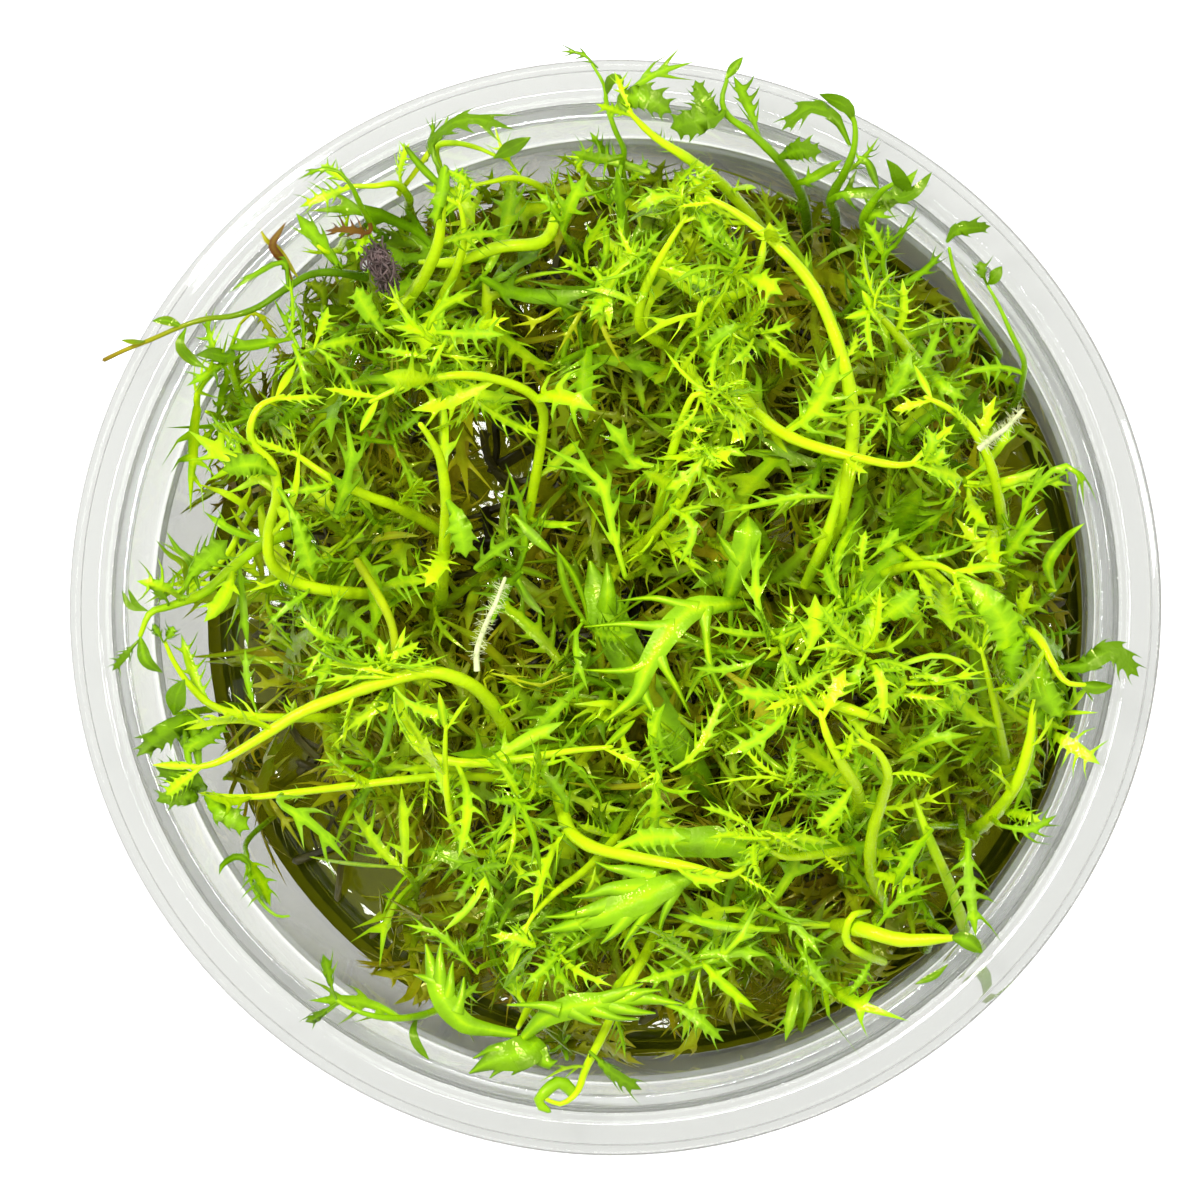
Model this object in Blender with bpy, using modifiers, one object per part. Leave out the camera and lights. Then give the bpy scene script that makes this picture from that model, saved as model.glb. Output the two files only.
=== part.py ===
"""Mermaid weed grown in a round clear culture cup, which stands open without its lid.

Units are metres and +Z is up. The origin is the middle of the cup's flat underside. The shoots'
routes are written as they are seen from the camera above the cup: a place in the 1200 pixel
picture, and a height over the table in millimetres. seen_from_above() turns them into real places.
"""

import itertools
import math
from dataclasses import dataclass

import bmesh
import bpy
from mathutils import Matrix, Vector
from mathutils.bvhtree import BVHTree

MM = 0.001

# Cup: radii and heights of its moulded profile
CUP_SIDES = 36
CUP_HEIGHT = 50.0 * MM
CUP_FLOOR = 1.2 * MM
CUP_WALL = 1.1 * MM
BASE_RADIUS = 41.0 * MM
CORNER_RADIUS = 43.9 * MM
CORNER_HEIGHT = 3.2 * MM
STEP_RADIUS = 43.4 * MM
STEP_HEIGHT = 39.6 * MM
STEP_WIDTH = 0.7 * MM
LIP_INNER_RADIUS = 44.4 * MM
LIP_OUTER_RADIUS = 45.9 * MM
GROOVE_DEPTH = 1.1 * MM
FLANGE_RADIUS = 50.0 * MM
FLANGE_THICKNESS = 0.9 * MM
FLANGE_SKIRT = 2.2 * MM

# Gel, the gap that touching pieces keep, and how far from the axis a shoot can root
GAP = 0.3 * MM
GEL_TOP = 15.0 * MM
GEL_MENISCUS = 1.2 * MM
ROOTING_RADIUS = 36.5 * MM

# Camera above the cup: its place, the point that it looks at, its lens, and its square picture
EYE = Vector((42.3 * MM, -14.2 * MM, 500.0 * MM))
AIM = Vector((-0.82 * MM, 0.49 * MM, 50.0 * MM))
LENS = 149.0
SENSOR = 36.0
PICTURE = 1200.0

# Leaves
LEAF_THICKNESS = 0.55 * MM
LEAF_MOST_WIDTH = 5.2 * MM
PETIOLE = 0.5 * MM
TOOTH_AT, NOTCH_AT, UPPER_TOOTH_AT, BLADE_WIDEST_AT = 0.50, 0.58, 0.86, 0.45
UPPER_TOOTH_SHARE = 0.8
LOBE_RADII = (0.55 * MM, 0.2 * MM)

# Placed leaves: shares of the length and turns about it, in radians, that are tried in order
LENGTH_SHARES = (1.0, 0.85, 0.7)
ROLLS = (0.15, -0.35, 0.6, -0.8, 1.2)

# Leaves by rule: the stretch of stem that they stand on, their length, and the turn between two
RULE_START, RULE_STRETCH = 0.32, 0.5
RULE_LENGTH = 8.5 * MM
RULE_SHORTENING = 0.4 * MM
RULE_ATTEMPTS = 10
LEAF_TURN = math.radians(137.5)
ATTEMPT_TURN = math.radians(36.0)

# Stems: the radius in mm from which a tube has more sides, and shares of the radius at foot and tip
THICK_STEM = 0.77
FOOT_SHARE = 0.75
TIP_SHARE = 0.45

# Angle under which two faces are one flat face
FLAT_ANGLE = math.radians(0.5)

# Open corner of the cup beside the shoots, down to the gel
WELL_LOW = Vector((-28.0 * MM, -30.0 * MM, 16.6 * MM))
WELL_HIGH = Vector((-19.0 * MM, -21.0 * MM, 60.0 * MM))

# Leaf kinds: width as a share of length, and how deep the notch between a side's two teeth is
LEAF_KINDS = {
    "toothed": (0.44, 0.40),
    "fan": (0.70, 0.36),
    "comb": (0.66, 0.80),
    "blade": (0.22, 0.0),
}

COLOURS = {
    "cup_plastic": ((0.86, 0.87, 0.84), 0.08),
    "nutrient_gel": ((0.20, 0.19, 0.03), 0.15),
    "lime_stem": ((0.42, 0.66, 0.03), 0.35),
    "green_leaf": ((0.16, 0.42, 0.02), 0.4),
    "white_root": ((0.78, 0.80, 0.66), 0.6),
    "withered_tissue": ((0.07, 0.04, 0.03), 0.9),
}


@dataclass(frozen=True)
class Shoot:
    """One stem: its name, its radius in mm, its route, the tips of its placed leaves, and how many
    more leaves it has by rule. Route points and tips are (across, down, height in mm)."""

    name: str
    radius: float
    route: tuple
    tips: tuple = ()
    more: int = 0
    slot: str = "lime_stem"


SHOOTS = (
    Shoot("long_arch_stem", 0.8, ((798, 606, 15.4), (800, 590, 28), (815, 563, 38), (833, 533, 46),
          (846, 489, 52), (853, 430, 56), (849, 385, 58), (836, 338, 59), (812, 285, 60), (775, 243, 61),
          (735, 212, 61), (706, 197, 60.5)),
          ((668, 175, 61, "toothed"), (935, 352, 57, "comb"))),
    Shoot("top_thick_stem", 0.7, ((772, 262, 15.4), (764, 235, 38), (728, 190, 50), (690, 160, 56),
          (655, 137, 58), (628, 111, 59.5)),
          ((672, 113, 60, "toothed"),)),
    Shoot("top_tip_sprig", 0.4, ((640, 225, 15.4), (628, 196, 36), (622, 167, 48), (624, 150, 52),
          (615, 130, 54), (607, 105, 55), (604, 85, 55.5), (592, 64, 56)),
          ((561, 51, 56, "comb"), (622, 78, 57, "blade")), 1),
    Shoot("crown_left_stem", 0.65, ((690, 388, 15.4), (672, 352, 40), (641, 328, 50), (644, 292, 54),
          (664, 252, 57), (686, 216, 58)),
          ((640, 372, 46, "comb"),)),
    Shoot("looped_stem", 0.55, ((770, 312, 15.4), (750, 326, 36), (729, 333, 46), (723, 316, 50),
          (713, 300, 53), (702, 303, 54), (698, 328, 52), (700, 350, 49)),
          ((758, 318, 52, "comb"),)),
    Shoot("kinked_stem", 0.75, ((726, 366, 15.4), (738, 374, 30), (741, 390, 46), (752, 408, 53),
          (775, 428, 57), (805, 443, 59.5), (851, 456, 61), (895, 465, 61), (920, 462, 60)),
          ((940, 440, 61, "toothed"), (925, 500, 56, "comb"))),
    Shoot("hooked_stem", 0.65, ((656, 575, 15.4), (652, 550, 30), (660, 505, 46), (670, 460, 54),
          (684, 415, 58.5), (695, 394, 60), (712, 398, 59)),
          ((745, 425, 58, "comb"),), 0),
    Shoot("leaning_stem", 0.65, ((600, 600, 15.4), (620, 568, 32), (640, 547, 42), (668, 518, 50),
          (688, 488, 54), (700, 462, 56)),
          ((640, 450, 56, "toothed"), (745, 480, 55, "comb"))),
    Shoot("left_hook_stem", 0.7, ((420, 592, 15.4), (396, 594, 36), (340, 592, 45), (297, 583, 48),
          (271, 563, 51), (269, 530, 53), (277, 495, 56), (272, 465, 58), (255, 447, 59), (250, 428, 60),
          (260, 406, 60), (284, 396, 59)),
          ((230, 468, 58, "fan"), (310, 560, 54, "fan"))),
    Shoot("left_long_stem", 0.7, ((470, 562, 15.4), (440, 532, 36), (400, 508, 46), (368, 496, 50),
          (330, 478, 53), (293, 452, 54)),
          ((375, 440, 52, "comb"),)),
    Shoot("left_rim_sprig", 0.7, ((332, 520, 15.4), (296, 531, 42), (262, 545, 49), (232, 568, 51.5),
          (205, 592, 53), (170, 606, 55), (150, 613, 56), (140, 636, 56)),
          ((138, 580, 56.5, "fan"), (113, 668, 56, "toothed"), (178, 545, 53, "comb")), 0),
    Shoot("left_rim_twin", 0.45, ((276, 505, 15.4), (262, 500, 36), (243, 526, 45), (228, 553, 48),
          (208, 575, 50.5), (197, 581, 51.5)),
          ((215, 515, 48, "comb"),), 0),
    Shoot("left_cascade_stem", 0.55, ((368, 722, 15.4), (335, 718, 40), (290, 718, 47), (250, 716, 49.5),
          (215, 707, 51.5), (192, 688, 53), (174, 662, 54.5), (165, 642, 55.5)),
          ((170, 628, 56.5, "fan"), (150, 660, 57, "blade")), 1),
    Shoot("long_bow_stem", 0.8, ((538, 792, 15.4), (524, 760, 36), (506, 728, 45), (488, 700, 50),
          (466, 682, 53), (430, 672, 55), (390, 680, 55.5), (345, 695, 56), (300, 713, 56.5),
          (252, 743, 56.5), (218, 762, 56.5), (192, 768, 56.5)),
          ((140, 742, 56.5, "fan"), (184, 688, 57.5, "blade"), (222, 722, 57.5, "toothed"))),
    Shoot("hanging_hook_stem", 0.55, ((402, 640, 15.4), (399, 664, 34), (400, 690, 44), (407, 728, 48),
          (426, 753, 50), (465, 763, 51), (520, 759, 52), (570, 751, 52), (612, 747, 51)),
          ((352, 712, 50, "comb"),), 1),
    Shoot("lower_long_stem", 0.65, ((565, 800, 15.4), (532, 786, 36), (500, 779, 43), (451, 776, 47),
          (400, 780, 49), (350, 786, 50.5), (300, 792, 51.5), (250, 797, 52), (208, 794, 53),
          (186, 786, 54)),
          ((160, 802, 55, "toothed"), (205, 838, 53, "toothed"), (395, 850, 46, "comb"))),
    Shoot("low_u_stem", 0.6, ((592, 806, 15.4), (557, 816, 36), (520, 836, 44), (490, 853, 46),
          (469, 849, 48), (455, 830, 50), (447, 795, 53), (445, 755, 55), (446, 724, 57)),
          ((415, 800, 52, "comb"),)),
    Shoot("bottom_swoop_stem", 0.7, ((552, 752, 15.4), (557, 785, 40), (562, 810, 48), (571, 832, 51.5),
          (595, 848, 54), (640, 858, 56), (690, 867, 57), (728, 876, 57), (744, 868, 56.5)),
          ((768, 800, 58, "fan"),)),
    Shoot("bottom_bar_stem", 0.6, ((908, 852, 15.4), (888, 848, 34), (852, 850, 43), (815, 855, 50),
          (785, 857, 54), (766, 848, 57)),
          ((738, 835, 58, "fan"),)),
    Shoot("right_stub_stem", 0.75, ((893, 942, 15.4), (882, 905, 36), (871, 870, 44), (872, 835, 49),
          (882, 800, 53), (888, 775, 57), (878, 752, 59.5), (858, 740, 61)),
          ((915, 815, 50, "toothed"),)),
    Shoot("front_thick_stem", 0.8, ((853, 832, 15.4), (858, 815, 38), (857, 790, 54), (842, 764, 60),
          (828, 738, 62.5), (820, 712, 63)),
          ((780, 700, 63, "toothed"), (900, 700, 61, "toothed"), (840, 660, 61, "comb"))),
    Shoot("right_leaf_stem", 0.7, ((905, 604, 15.4), (890, 592, 36), (882, 577, 45), (905, 567, 50),
          (935, 565, 53.5), (958, 575, 55)),
          ((1012, 628, 56, "toothed"), (868, 545, 52, "fan"))),
    Shoot("right_short_stem", 0.6, ((872, 522, 15.4), (884, 532, 36), (903, 548, 43), (930, 570, 46),
          (955, 593, 48), (975, 622, 49)),
          ((945, 650, 47, "comb"),), 1),
    Shoot("right_long_stem", 0.65, ((1002, 602, 15.4), (999, 582, 34), (1004, 548, 43), (1000, 505, 49),
          (989, 460, 53.5), (971, 427, 56), (948, 408, 57.5), (925, 397, 58)),
          ((1084, 485, 52, "comb"), (915, 420, 57, "fan"))),
    Shoot("upper_right_stem", 0.7, ((926, 420, 15.4), (936, 392, 36), (923, 369, 46), (904, 344, 52),
          (886, 322, 56), (870, 308, 58.5)),
          ((832, 330, 56, "toothed"), (905, 280, 58, "comb"))),
    Shoot("right_overhang_shoot", 0.65, ((1000, 694, 15.4), (1002, 668, 36), (1008, 644, 46), (1025, 630, 52),
          (1040, 640, 55), (1052, 662, 56), (1066, 682, 57), (1085, 685, 57)),
          ((1138, 672, 58, "blade"), (1105, 648, 59, "toothed"), (985, 622, 53, "comb")), 0),
    Shoot("right_lower_stem", 0.8, ((950, 852, 15.4), (975, 830, 38), (1000, 808, 46), (1019, 778, 50),
          (1030, 740, 52), (1033, 712, 53), (1038, 690, 53)),
          ((1052, 720, 54, "comb"), (985, 800, 51, "comb"))),
    Shoot("right_inner_stem", 0.55, ((1000, 790, 15.4), (1004, 768, 34), (1003, 745, 43), (995, 706, 48),
          (986, 668, 51), (981, 648, 52)),
          ((950, 690, 50, "comb"),)),
    Shoot("bottom_loop_shoot", 0.6, ((666, 906, 15.4), (658, 928, 36), (645, 955, 46), (620, 1000, 49),
          (601, 1038, 51), (586, 1068, 53), (577, 1092, 54.5), (561, 1104, 55), (546, 1099, 55.5)),
          ((652, 1080, 54, "fan"), (640, 900, 46, "comb"))),
    Shoot("bottom_left_stem", 0.55, ((645, 790, 15.4), (635, 812, 36), (612, 842, 45), (585, 870, 48.5),
          (556, 892, 51), (535, 913, 53), (526, 928, 53.5)),
          ((492, 938, 54, "toothed"), (600, 930, 49, "toothed"))),
    Shoot("bottom_sprig", 0.65, ((566, 945, 15.4), (548, 965, 36), (532, 1000, 47), (518, 1028, 53)),
          ((424, 948, 55, "toothed"), (722, 1040, 55, "toothed"), (472, 1072, 54, "toothed")), 0),
    Shoot("bottom_left_tip_shoot", 0.5, ((480, 962, 15.4), (462, 986, 36), (436, 1010, 47), (404, 1018, 51.5),
          (374, 1016, 54), (350, 1008, 55), (337, 1000, 55.5)),
          ((324, 958, 56, "fan"), (306, 1020, 56, "fan")), 0),
    Shoot("left_curl_sprig", 0.35, ((266, 812, 15.4), (252, 835, 38), (247, 858, 45), (251, 880, 47),
          (262, 903, 48), (277, 916, 48.5), (289, 916, 49)),
          ((224, 868, 47, "blade"),), 0),
    Shoot("top_left_arch_stem", 0.7, ((412, 356, 15.4), (399, 330, 34), (405, 305, 45), (425, 275, 52),
          (438, 243, 55.5), (442, 208, 58), (444, 176, 59)),
          ((516, 128, 60, "comb"), (428, 120, 60, "blade")), 0),
    Shoot("top_left_twin_stem", 0.6, ((432, 335, 15.4), (430, 320, 34), (440, 300, 43), (455, 272, 48.5),
          (464, 240, 51.5), (462, 213, 53), (457, 200, 53.5)),
          ((500, 268, 48, "comb"),)),
    Shoot("top_left_bud_shoot", 0.5, ((452, 262, 15.4), (450, 215, 36), (440, 172, 47.5), (436, 148, 53),
          (455, 143, 55), (478, 148, 56), (496, 156, 56)),
          ((531, 136, 56.5, "blade"), (402, 145, 55, "blade")), 0),
    Shoot("top_left_bar_stem", 0.5, ((566, 218, 15.4), (556, 203, 36), (541, 187, 45), (515, 178, 48),
          (490, 182, 49.5), (472, 186, 50)),
          ((590, 178, 47, "comb"), (575, 245, 44, "comb"))),
    Shoot("top_right_sprig", 0.6, ((812, 272, 15.4), (806, 214, 38), (797, 176, 49), (775, 156, 54),
          (750, 132, 56), (729, 117, 57), (722, 100, 58), (727, 80, 58)),
          ((744, 60, 58, "blade"), (692, 82, 58.5, "toothed"), (672, 132, 58, "fan"),
           (835, 140, 55, "toothed")), 0),
    Shoot("right_top_curl", 0.6, ((846, 270, 15.4), (836, 222, 38), (833, 195, 48), (845, 172, 54),
          (854, 148, 56), (855, 125, 57), (849, 108, 57.5)),
          ((820, 94, 57, "blade"), (786, 120, 58, "toothed"), (880, 188, 54, "blade")), 0),
    Shoot("right_top_bud_shoot", 0.65, ((880, 282, 15.4), (868, 243, 38), (868, 212, 49), (880, 193, 54),
          (893, 184, 56)),
          ((889, 158, 57, "fan"), (932, 172, 57, "toothed")), 1),
    Shoot("right_top_wisp", 0.4, ((906, 348, 15.4), (902, 330, 32), (895, 305, 44), (886, 278, 48),
          (884, 256, 50.5), (897, 243, 52), (906, 228, 54)),
          ((916, 204, 55, "blade"), (860, 262, 52, "toothed")), 1),
    Shoot("right_rim_leaf_shoot", 0.45, ((980, 388, 15.4), (996, 362, 38), (997, 343, 45), (982, 322, 49),
          (967, 298, 52), (955, 273, 54), (949, 248, 56)),
          ((989, 226, 57, "fan"), (935, 262, 54, "toothed")), 0),
    Shoot("right_rim_thin_shoot", 0.4, ((1000, 432, 15.4), (1014, 405, 38), (1023, 385, 48), (1024, 362, 53),
          (1012, 335, 55), (1000, 308, 56), (988, 286, 56.5)),
          ((981, 264, 57, "fan"), (1004, 266, 57, "blade")), 0),
    Shoot("left_top_runner", 0.6, ((392, 318, 15.4), (386, 288, 38), (348, 274, 49), (312, 274, 52),
          (284, 290, 54), (258, 307, 55), (232, 316, 56), (205, 319, 56.5), (180, 327, 56.5),
          (150, 340, 56), (125, 350, 55.5), (104, 360, 55)),
          ((152, 321, 57, "blade"), (206, 368, 57, "blade"), (230, 294, 55, "comb"))),
    Shoot("left_top_hanger", 0.45, ((266, 424, 15.4), (248, 405, 36), (236, 385, 44), (230, 360, 48),
          (233, 338, 50.5), (240, 324, 51.5)),
          ((205, 356, 50, "blade"),), 2),
    Shoot("left_top_tip_shoot", 0.4, ((396, 250, 15.4), (386, 240, 38), (374, 228, 49), (362, 208, 55),
          (350, 184, 58.5), (336, 170, 59.5), (322, 167, 59.5)),
          ((297, 179, 59, "blade"),), 0),
    Shoot("left_top_bar_stem", 0.55, ((418, 240, 15.4), (412, 217, 36), (409, 198, 48), (396, 184, 53),
          (374, 186, 54.5), (346, 186, 54.5)),
          ((396, 214, 52, "comb"),), 1),
    Shoot("left_top_leaf_shoot", 0.55, ((318, 300, 15.4), (350, 246, 40), (338, 250, 54), (327, 252, 58),
          (318, 246, 59)),
          ((287, 214, 60, "fan"), (300, 243, 57, "blade")), 1),
    Shoot("centre_arch_stem", 0.8, ((512, 577, 15.4), (518, 555, 32), (527, 520, 40), (535, 480, 45),
          (541, 442, 48.5), (543, 412, 52), (528, 392, 55), (495, 379, 58), (460, 375, 60),
          (425, 380, 61), (395, 390, 61.5), (370, 402, 61.5)),
          ((440, 330, 60, "comb"), (400, 345, 59, "comb"))),
    Shoot("cut_centre_stem", 0.75, ((436, 616, 15.4), (441, 600, 36), (443, 560, 46), (446, 505, 52),
          (441, 462, 56), (430, 438, 58.5), (420, 424, 60)),
          ((458, 530, 52, "toothed"),), 0),
)

# Separate leaves: name, kind, width in mm, and their route from the gel to the tip
BLADE_LEAF_ROUTE = ((736, 832, 15.4), (716, 800, 30), (690, 762, 36), (655, 706, 39), (625, 652, 41),
                    (603, 606, 42), (589, 563, 42))
BLADE_LEAF_WIDTHS = (0.9, 1.2, 3.2, 4.0, 3.4, 2.8, 0.6)
STAR_LEAF_ROUTE = ((756, 610, 15.4), (745, 604, 40), (729, 604, 47), (690, 613, 49), (667, 632, 50),
                   (648, 662, 50), (638, 692, 49.5), (605, 722, 48.5))
STAR_LEAF_WIDTHS = (0.9, 1.0, 1.3, 1.9, 3.0, 2.0, 1.7, 0.6)
STAR_LOBES = (((690, 613, 49), (622, 598, 47)), ((664, 634, 50), (585, 627, 49)),
              ((646, 664, 50), (583, 670, 49)), ((656, 655, 50), (691, 716, 47)),
              ((705, 607, 48.5), (739, 721, 46)))

ROOTS = (
    ("left_root", ((477, 671, 56.2), (477, 650, 56.5), (486, 624, 57), (497, 600, 57), (505, 581, 56.5))),
    ("right_root", ((979, 449, 58), (992, 438, 58.5), (1006, 428, 58.5), (1022, 411, 58))),
)
ROOT_RADIUS = 0.45

TUFT_ROUTE = ((378, 258, 53), (384, 268, 52.5), (386, 280, 51.5))
TUFT_RADIUS = 1.5


def clear_scene():
    """Removes everything that the file opened with."""
    for obj in list(bpy.data.objects):
        bpy.data.objects.remove(obj, do_unlink=True)


def new_collection(name):
    collection = bpy.data.collections.new(name)
    bpy.context.scene.collection.children.link(collection)
    return collection


def material(slot):
    """The slot's plain Principled material, made once."""
    found = bpy.data.materials.get(slot)
    if found:
        return found
    colour, roughness = COLOURS[slot]
    made = bpy.data.materials.new(slot)
    made.use_nodes = True
    shader = made.node_tree.nodes["Principled BSDF"]
    shader.inputs["Base Color"].default_value = (*colour, 1.0)
    shader.inputs["Roughness"].default_value = roughness
    if slot == "cup_plastic":
        shader.inputs["Transmission Weight"].default_value = 1.0
        shader.inputs["IOR"].default_value = 1.49
    return made


def seen_from_above(across, down, height_mm):
    """The real place at that height that the camera sees at that pixel of its picture."""
    forward = (AIM - EYE).normalized()
    right = forward.cross(Vector((0, 1, 0))).normalized()
    up = right.cross(forward)
    pixel_angle = SENSOR / PICTURE / LENS
    ray = forward + (right * (across - PICTURE / 2) + up * (PICTURE / 2 - down)) * pixel_angle
    return EYE + ray * ((height_mm * MM - EYE.z) / ray.z)


def route_points(route):
    return [seen_from_above(*point) for point in route]


def kept_inside(place, radius):
    """The place, drawn in towards the axis where a stem there would touch the cup or root in its wall."""
    if place.z > CUP_HEIGHT + radius + 2 * GAP:
        return place
    room = inner_radius(min(place.z, STEP_HEIGHT)) - radius - 2 * GAP
    if place.z < GEL_TOP + MM:
        room = ROOTING_RADIUS
    reach = math.hypot(place.x, place.y)
    share = min(1.0, room / reach)
    return Vector((place.x * share, place.y * share, place.z))


def stem_points(shoot):
    return [kept_inside(place, shoot.radius * MM) for place in route_points(shoot.route)]


def link(name, mesh, collection, slot=None):
    obj = bpy.data.objects.new(name, mesh)
    collection.objects.link(obj)
    if slot:
        mesh.materials.append(material(slot))
    return obj


def curve_to_mesh(name, curve):
    """The closed mesh of a curve, with its loose caps welded on. The curve is removed."""
    holder = bpy.data.objects.new(name, curve)
    bpy.context.scene.collection.objects.link(holder)
    bpy.context.view_layer.update()
    graph = bpy.context.evaluated_depsgraph_get()
    mesh = bpy.data.meshes.new_from_object(holder.evaluated_get(graph))
    bpy.data.objects.remove(holder)
    bpy.data.curves.remove(curve)
    edit = bmesh.new()
    edit.from_mesh(mesh)
    bmesh.ops.remove_doubles(edit, verts=edit.verts, dist=0.00001)
    bmesh.ops.dissolve_limit(edit, angle_limit=FLAT_ANGLE, verts=edit.verts, edges=edit.edges)
    bmesh.ops.recalc_face_normals(edit, faces=edit.faces)
    edit.to_mesh(mesh)
    edit.free()
    mesh.name = name
    return mesh


def tube_mesh(name, points, radii, resolution):
    """A tube of 4 + 2 * resolution sides through the points, with a radius at each."""
    curve = bpy.data.curves.new(name, "CURVE")
    curve.dimensions = "3D"
    curve.bevel_depth = 1.0
    curve.bevel_resolution = resolution
    curve.use_fill_caps = True
    spline = curve.splines.new("POLY")
    spline.points.add(len(points) - 1)
    for point, place, radius in zip(spline.points, points, radii):
        point.co = (*place, 1.0)
        point.radius = radius
    return curve_to_mesh(name, curve)


def stem_radii(count, radius_mm):
    """A stem is thinner at its foot and tapers to its tip."""
    swells = [math.sin(math.pi * min(1.0, 0.15 + i / (count - 1))) for i in range(count)]
    shares = [FOOT_SHARE + (1 - FOOT_SHARE) * swell for swell in swells]
    shares[-1] = TIP_SHARE
    return [radius_mm * MM * share for share in shares]


def leaf_outline(length, kind):
    """One closed outline in the plane, from the leaf's foot at the origin to its tip on +X."""
    width_share, notch_depth = LEAF_KINDS[kind]
    half = min(length * width_share, LEAF_MOST_WIDTH) / 2
    if notch_depth:
        notch = max(PETIOLE, half * (1 - notch_depth))
        side = [(0.0, PETIOLE), (length * TOOTH_AT, half), (length * NOTCH_AT, notch),
                (length * UPPER_TOOTH_AT, half * UPPER_TOOTH_SHARE)]
    else:
        side = [(0.0, PETIOLE), (length * BLADE_WIDEST_AT, half)]
    return side + [(length, 0.0)] + [(x, -y) for x, y in reversed(side)]


def leaf_mesh(name, length, kind):
    """A thin flat leaf whose two faces are one polygon each."""
    curve = bpy.data.curves.new(name, "CURVE")
    curve.dimensions = "2D"
    curve.fill_mode = "BOTH"
    curve.extrude = LEAF_THICKNESS / 2
    outline = leaf_outline(length, kind)
    spline = curve.splines.new("POLY")
    spline.points.add(len(outline) - 1)
    for point, (x, y) in zip(spline.points, outline):
        point.co = (x, y, 0.0, 1.0)
    spline.use_cyclic_u = True
    return curve_to_mesh(name, curve)


def leaf_matrix(foot, tip, roll=0.0):
    """Places a leaf with its foot and tip at those points and its face as level as it can be."""
    forward = (tip - foot).normalized()
    side = Vector((0, 0, 1)).cross(forward)
    if side.length < 0.05:
        side = Vector((1, 0, 0)).cross(forward)
    side.normalize()
    turn = Matrix.Rotation(roll, 3, forward)
    side = turn @ side
    normal = forward.cross(side)
    basis = Matrix((forward, side, normal)).transposed().to_4x4()
    return Matrix.Translation(foot) @ basis


def tree_of(mesh, matrix=Matrix.Identity(4), swell=0.0):
    """A search tree of the mesh's faces where the matrix puts them, swollen by that much."""
    places = [matrix @ (vertex.co + vertex.normal * swell) for vertex in mesh.vertices]
    return BVHTree.FromPolygons(places, [tuple(polygon.vertices) for polygon in mesh.polygons])


def box_mesh(name, low, high):
    mesh = bpy.data.meshes.new(name)
    edit = bmesh.new()
    bmesh.ops.create_cube(edit, size=1.0)
    edit.transform(Matrix.Translation((low + high) / 2) @ Matrix.Diagonal((*(high - low), 1.0)))
    edit.to_mesh(mesh)
    edit.free()
    return mesh


def turned(name, profile, slot, collection):
    """A body turned from a profile of (radius, height) that runs down its outer side."""
    mesh = bpy.data.meshes.new(name)
    edges = [(i, i + 1) for i in range(len(profile) - 1)]
    mesh.from_pydata([(radius, 0.0, height) for radius, height in profile], edges, [])
    obj = link(name, mesh, collection, slot)
    screw = obj.modifiers.new("Turn", "SCREW")
    screw.steps = CUP_SIDES
    screw.render_steps = CUP_SIDES
    screw.use_merge_vertices = True
    screw.merge_threshold = 0.00001
    screw.use_smooth_shade = True
    return obj


def cup_profile():
    """From the middle of the inner floor, up the inner wall, over the lip and flange, and down."""
    inner_low = CORNER_RADIUS - CUP_WALL
    flange_top = CUP_HEIGHT - 0.3 * MM
    return [
        (0.0, CUP_FLOOR),
        (BASE_RADIUS - CUP_WALL, CUP_FLOOR),
        (inner_low, CORNER_HEIGHT + CUP_FLOOR),
        (STEP_RADIUS, STEP_HEIGHT),
        (STEP_RADIUS + STEP_WIDTH, STEP_HEIGHT + 0.6 * MM),
        (LIP_INNER_RADIUS, CUP_HEIGHT),
        (LIP_OUTER_RADIUS - 0.2 * MM, CUP_HEIGHT),
        (LIP_OUTER_RADIUS + 0.2 * MM, CUP_HEIGHT - GROOVE_DEPTH),
        (LIP_OUTER_RADIUS + 1.0 * MM, flange_top),
        (FLANGE_RADIUS, flange_top - 0.2 * MM),
        (FLANGE_RADIUS, CUP_HEIGHT - FLANGE_SKIRT),
        (FLANGE_RADIUS - FLANGE_THICKNESS, CUP_HEIGHT - FLANGE_SKIRT),
        (FLANGE_RADIUS - FLANGE_THICKNESS, flange_top - 0.2 * MM - FLANGE_THICKNESS),
        (LIP_OUTER_RADIUS + 0.3 * MM, CUP_HEIGHT - GROOVE_DEPTH - FLANGE_THICKNESS),
        (STEP_RADIUS + STEP_WIDTH + CUP_WALL, STEP_HEIGHT + 0.4 * MM),
        (STEP_RADIUS + CUP_WALL, STEP_HEIGHT - 0.8 * MM),
        (CORNER_RADIUS, CORNER_HEIGHT),
        (BASE_RADIUS, 0.0),
        (0.0, 0.0),
    ]


def inner_radius(height):
    """The cup's inner wall radius at a height between the corner and the step."""
    low, high = CORNER_HEIGHT + CUP_FLOOR, STEP_HEIGHT
    share = (height - low) / (high - low)
    return CORNER_RADIUS - CUP_WALL + share * (STEP_RADIUS - CORNER_RADIUS + CUP_WALL)


def gel_profile():
    """The gel fills the cup's foot, with its surface drawn up a little at the wall."""
    low_corner = CORNER_HEIGHT + CUP_FLOOR
    return [
        (0.0, GEL_TOP),
        (inner_radius(GEL_TOP) - 3.0 * MM, GEL_TOP),
        (inner_radius(GEL_TOP + GEL_MENISCUS) - GAP, GEL_TOP + GEL_MENISCUS),
        (CORNER_RADIUS - CUP_WALL - GAP, low_corner),
        (BASE_RADIUS - CUP_WALL - GAP, CUP_FLOOR + GAP),
        (0.0, CUP_FLOOR + GAP),
    ]


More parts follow.
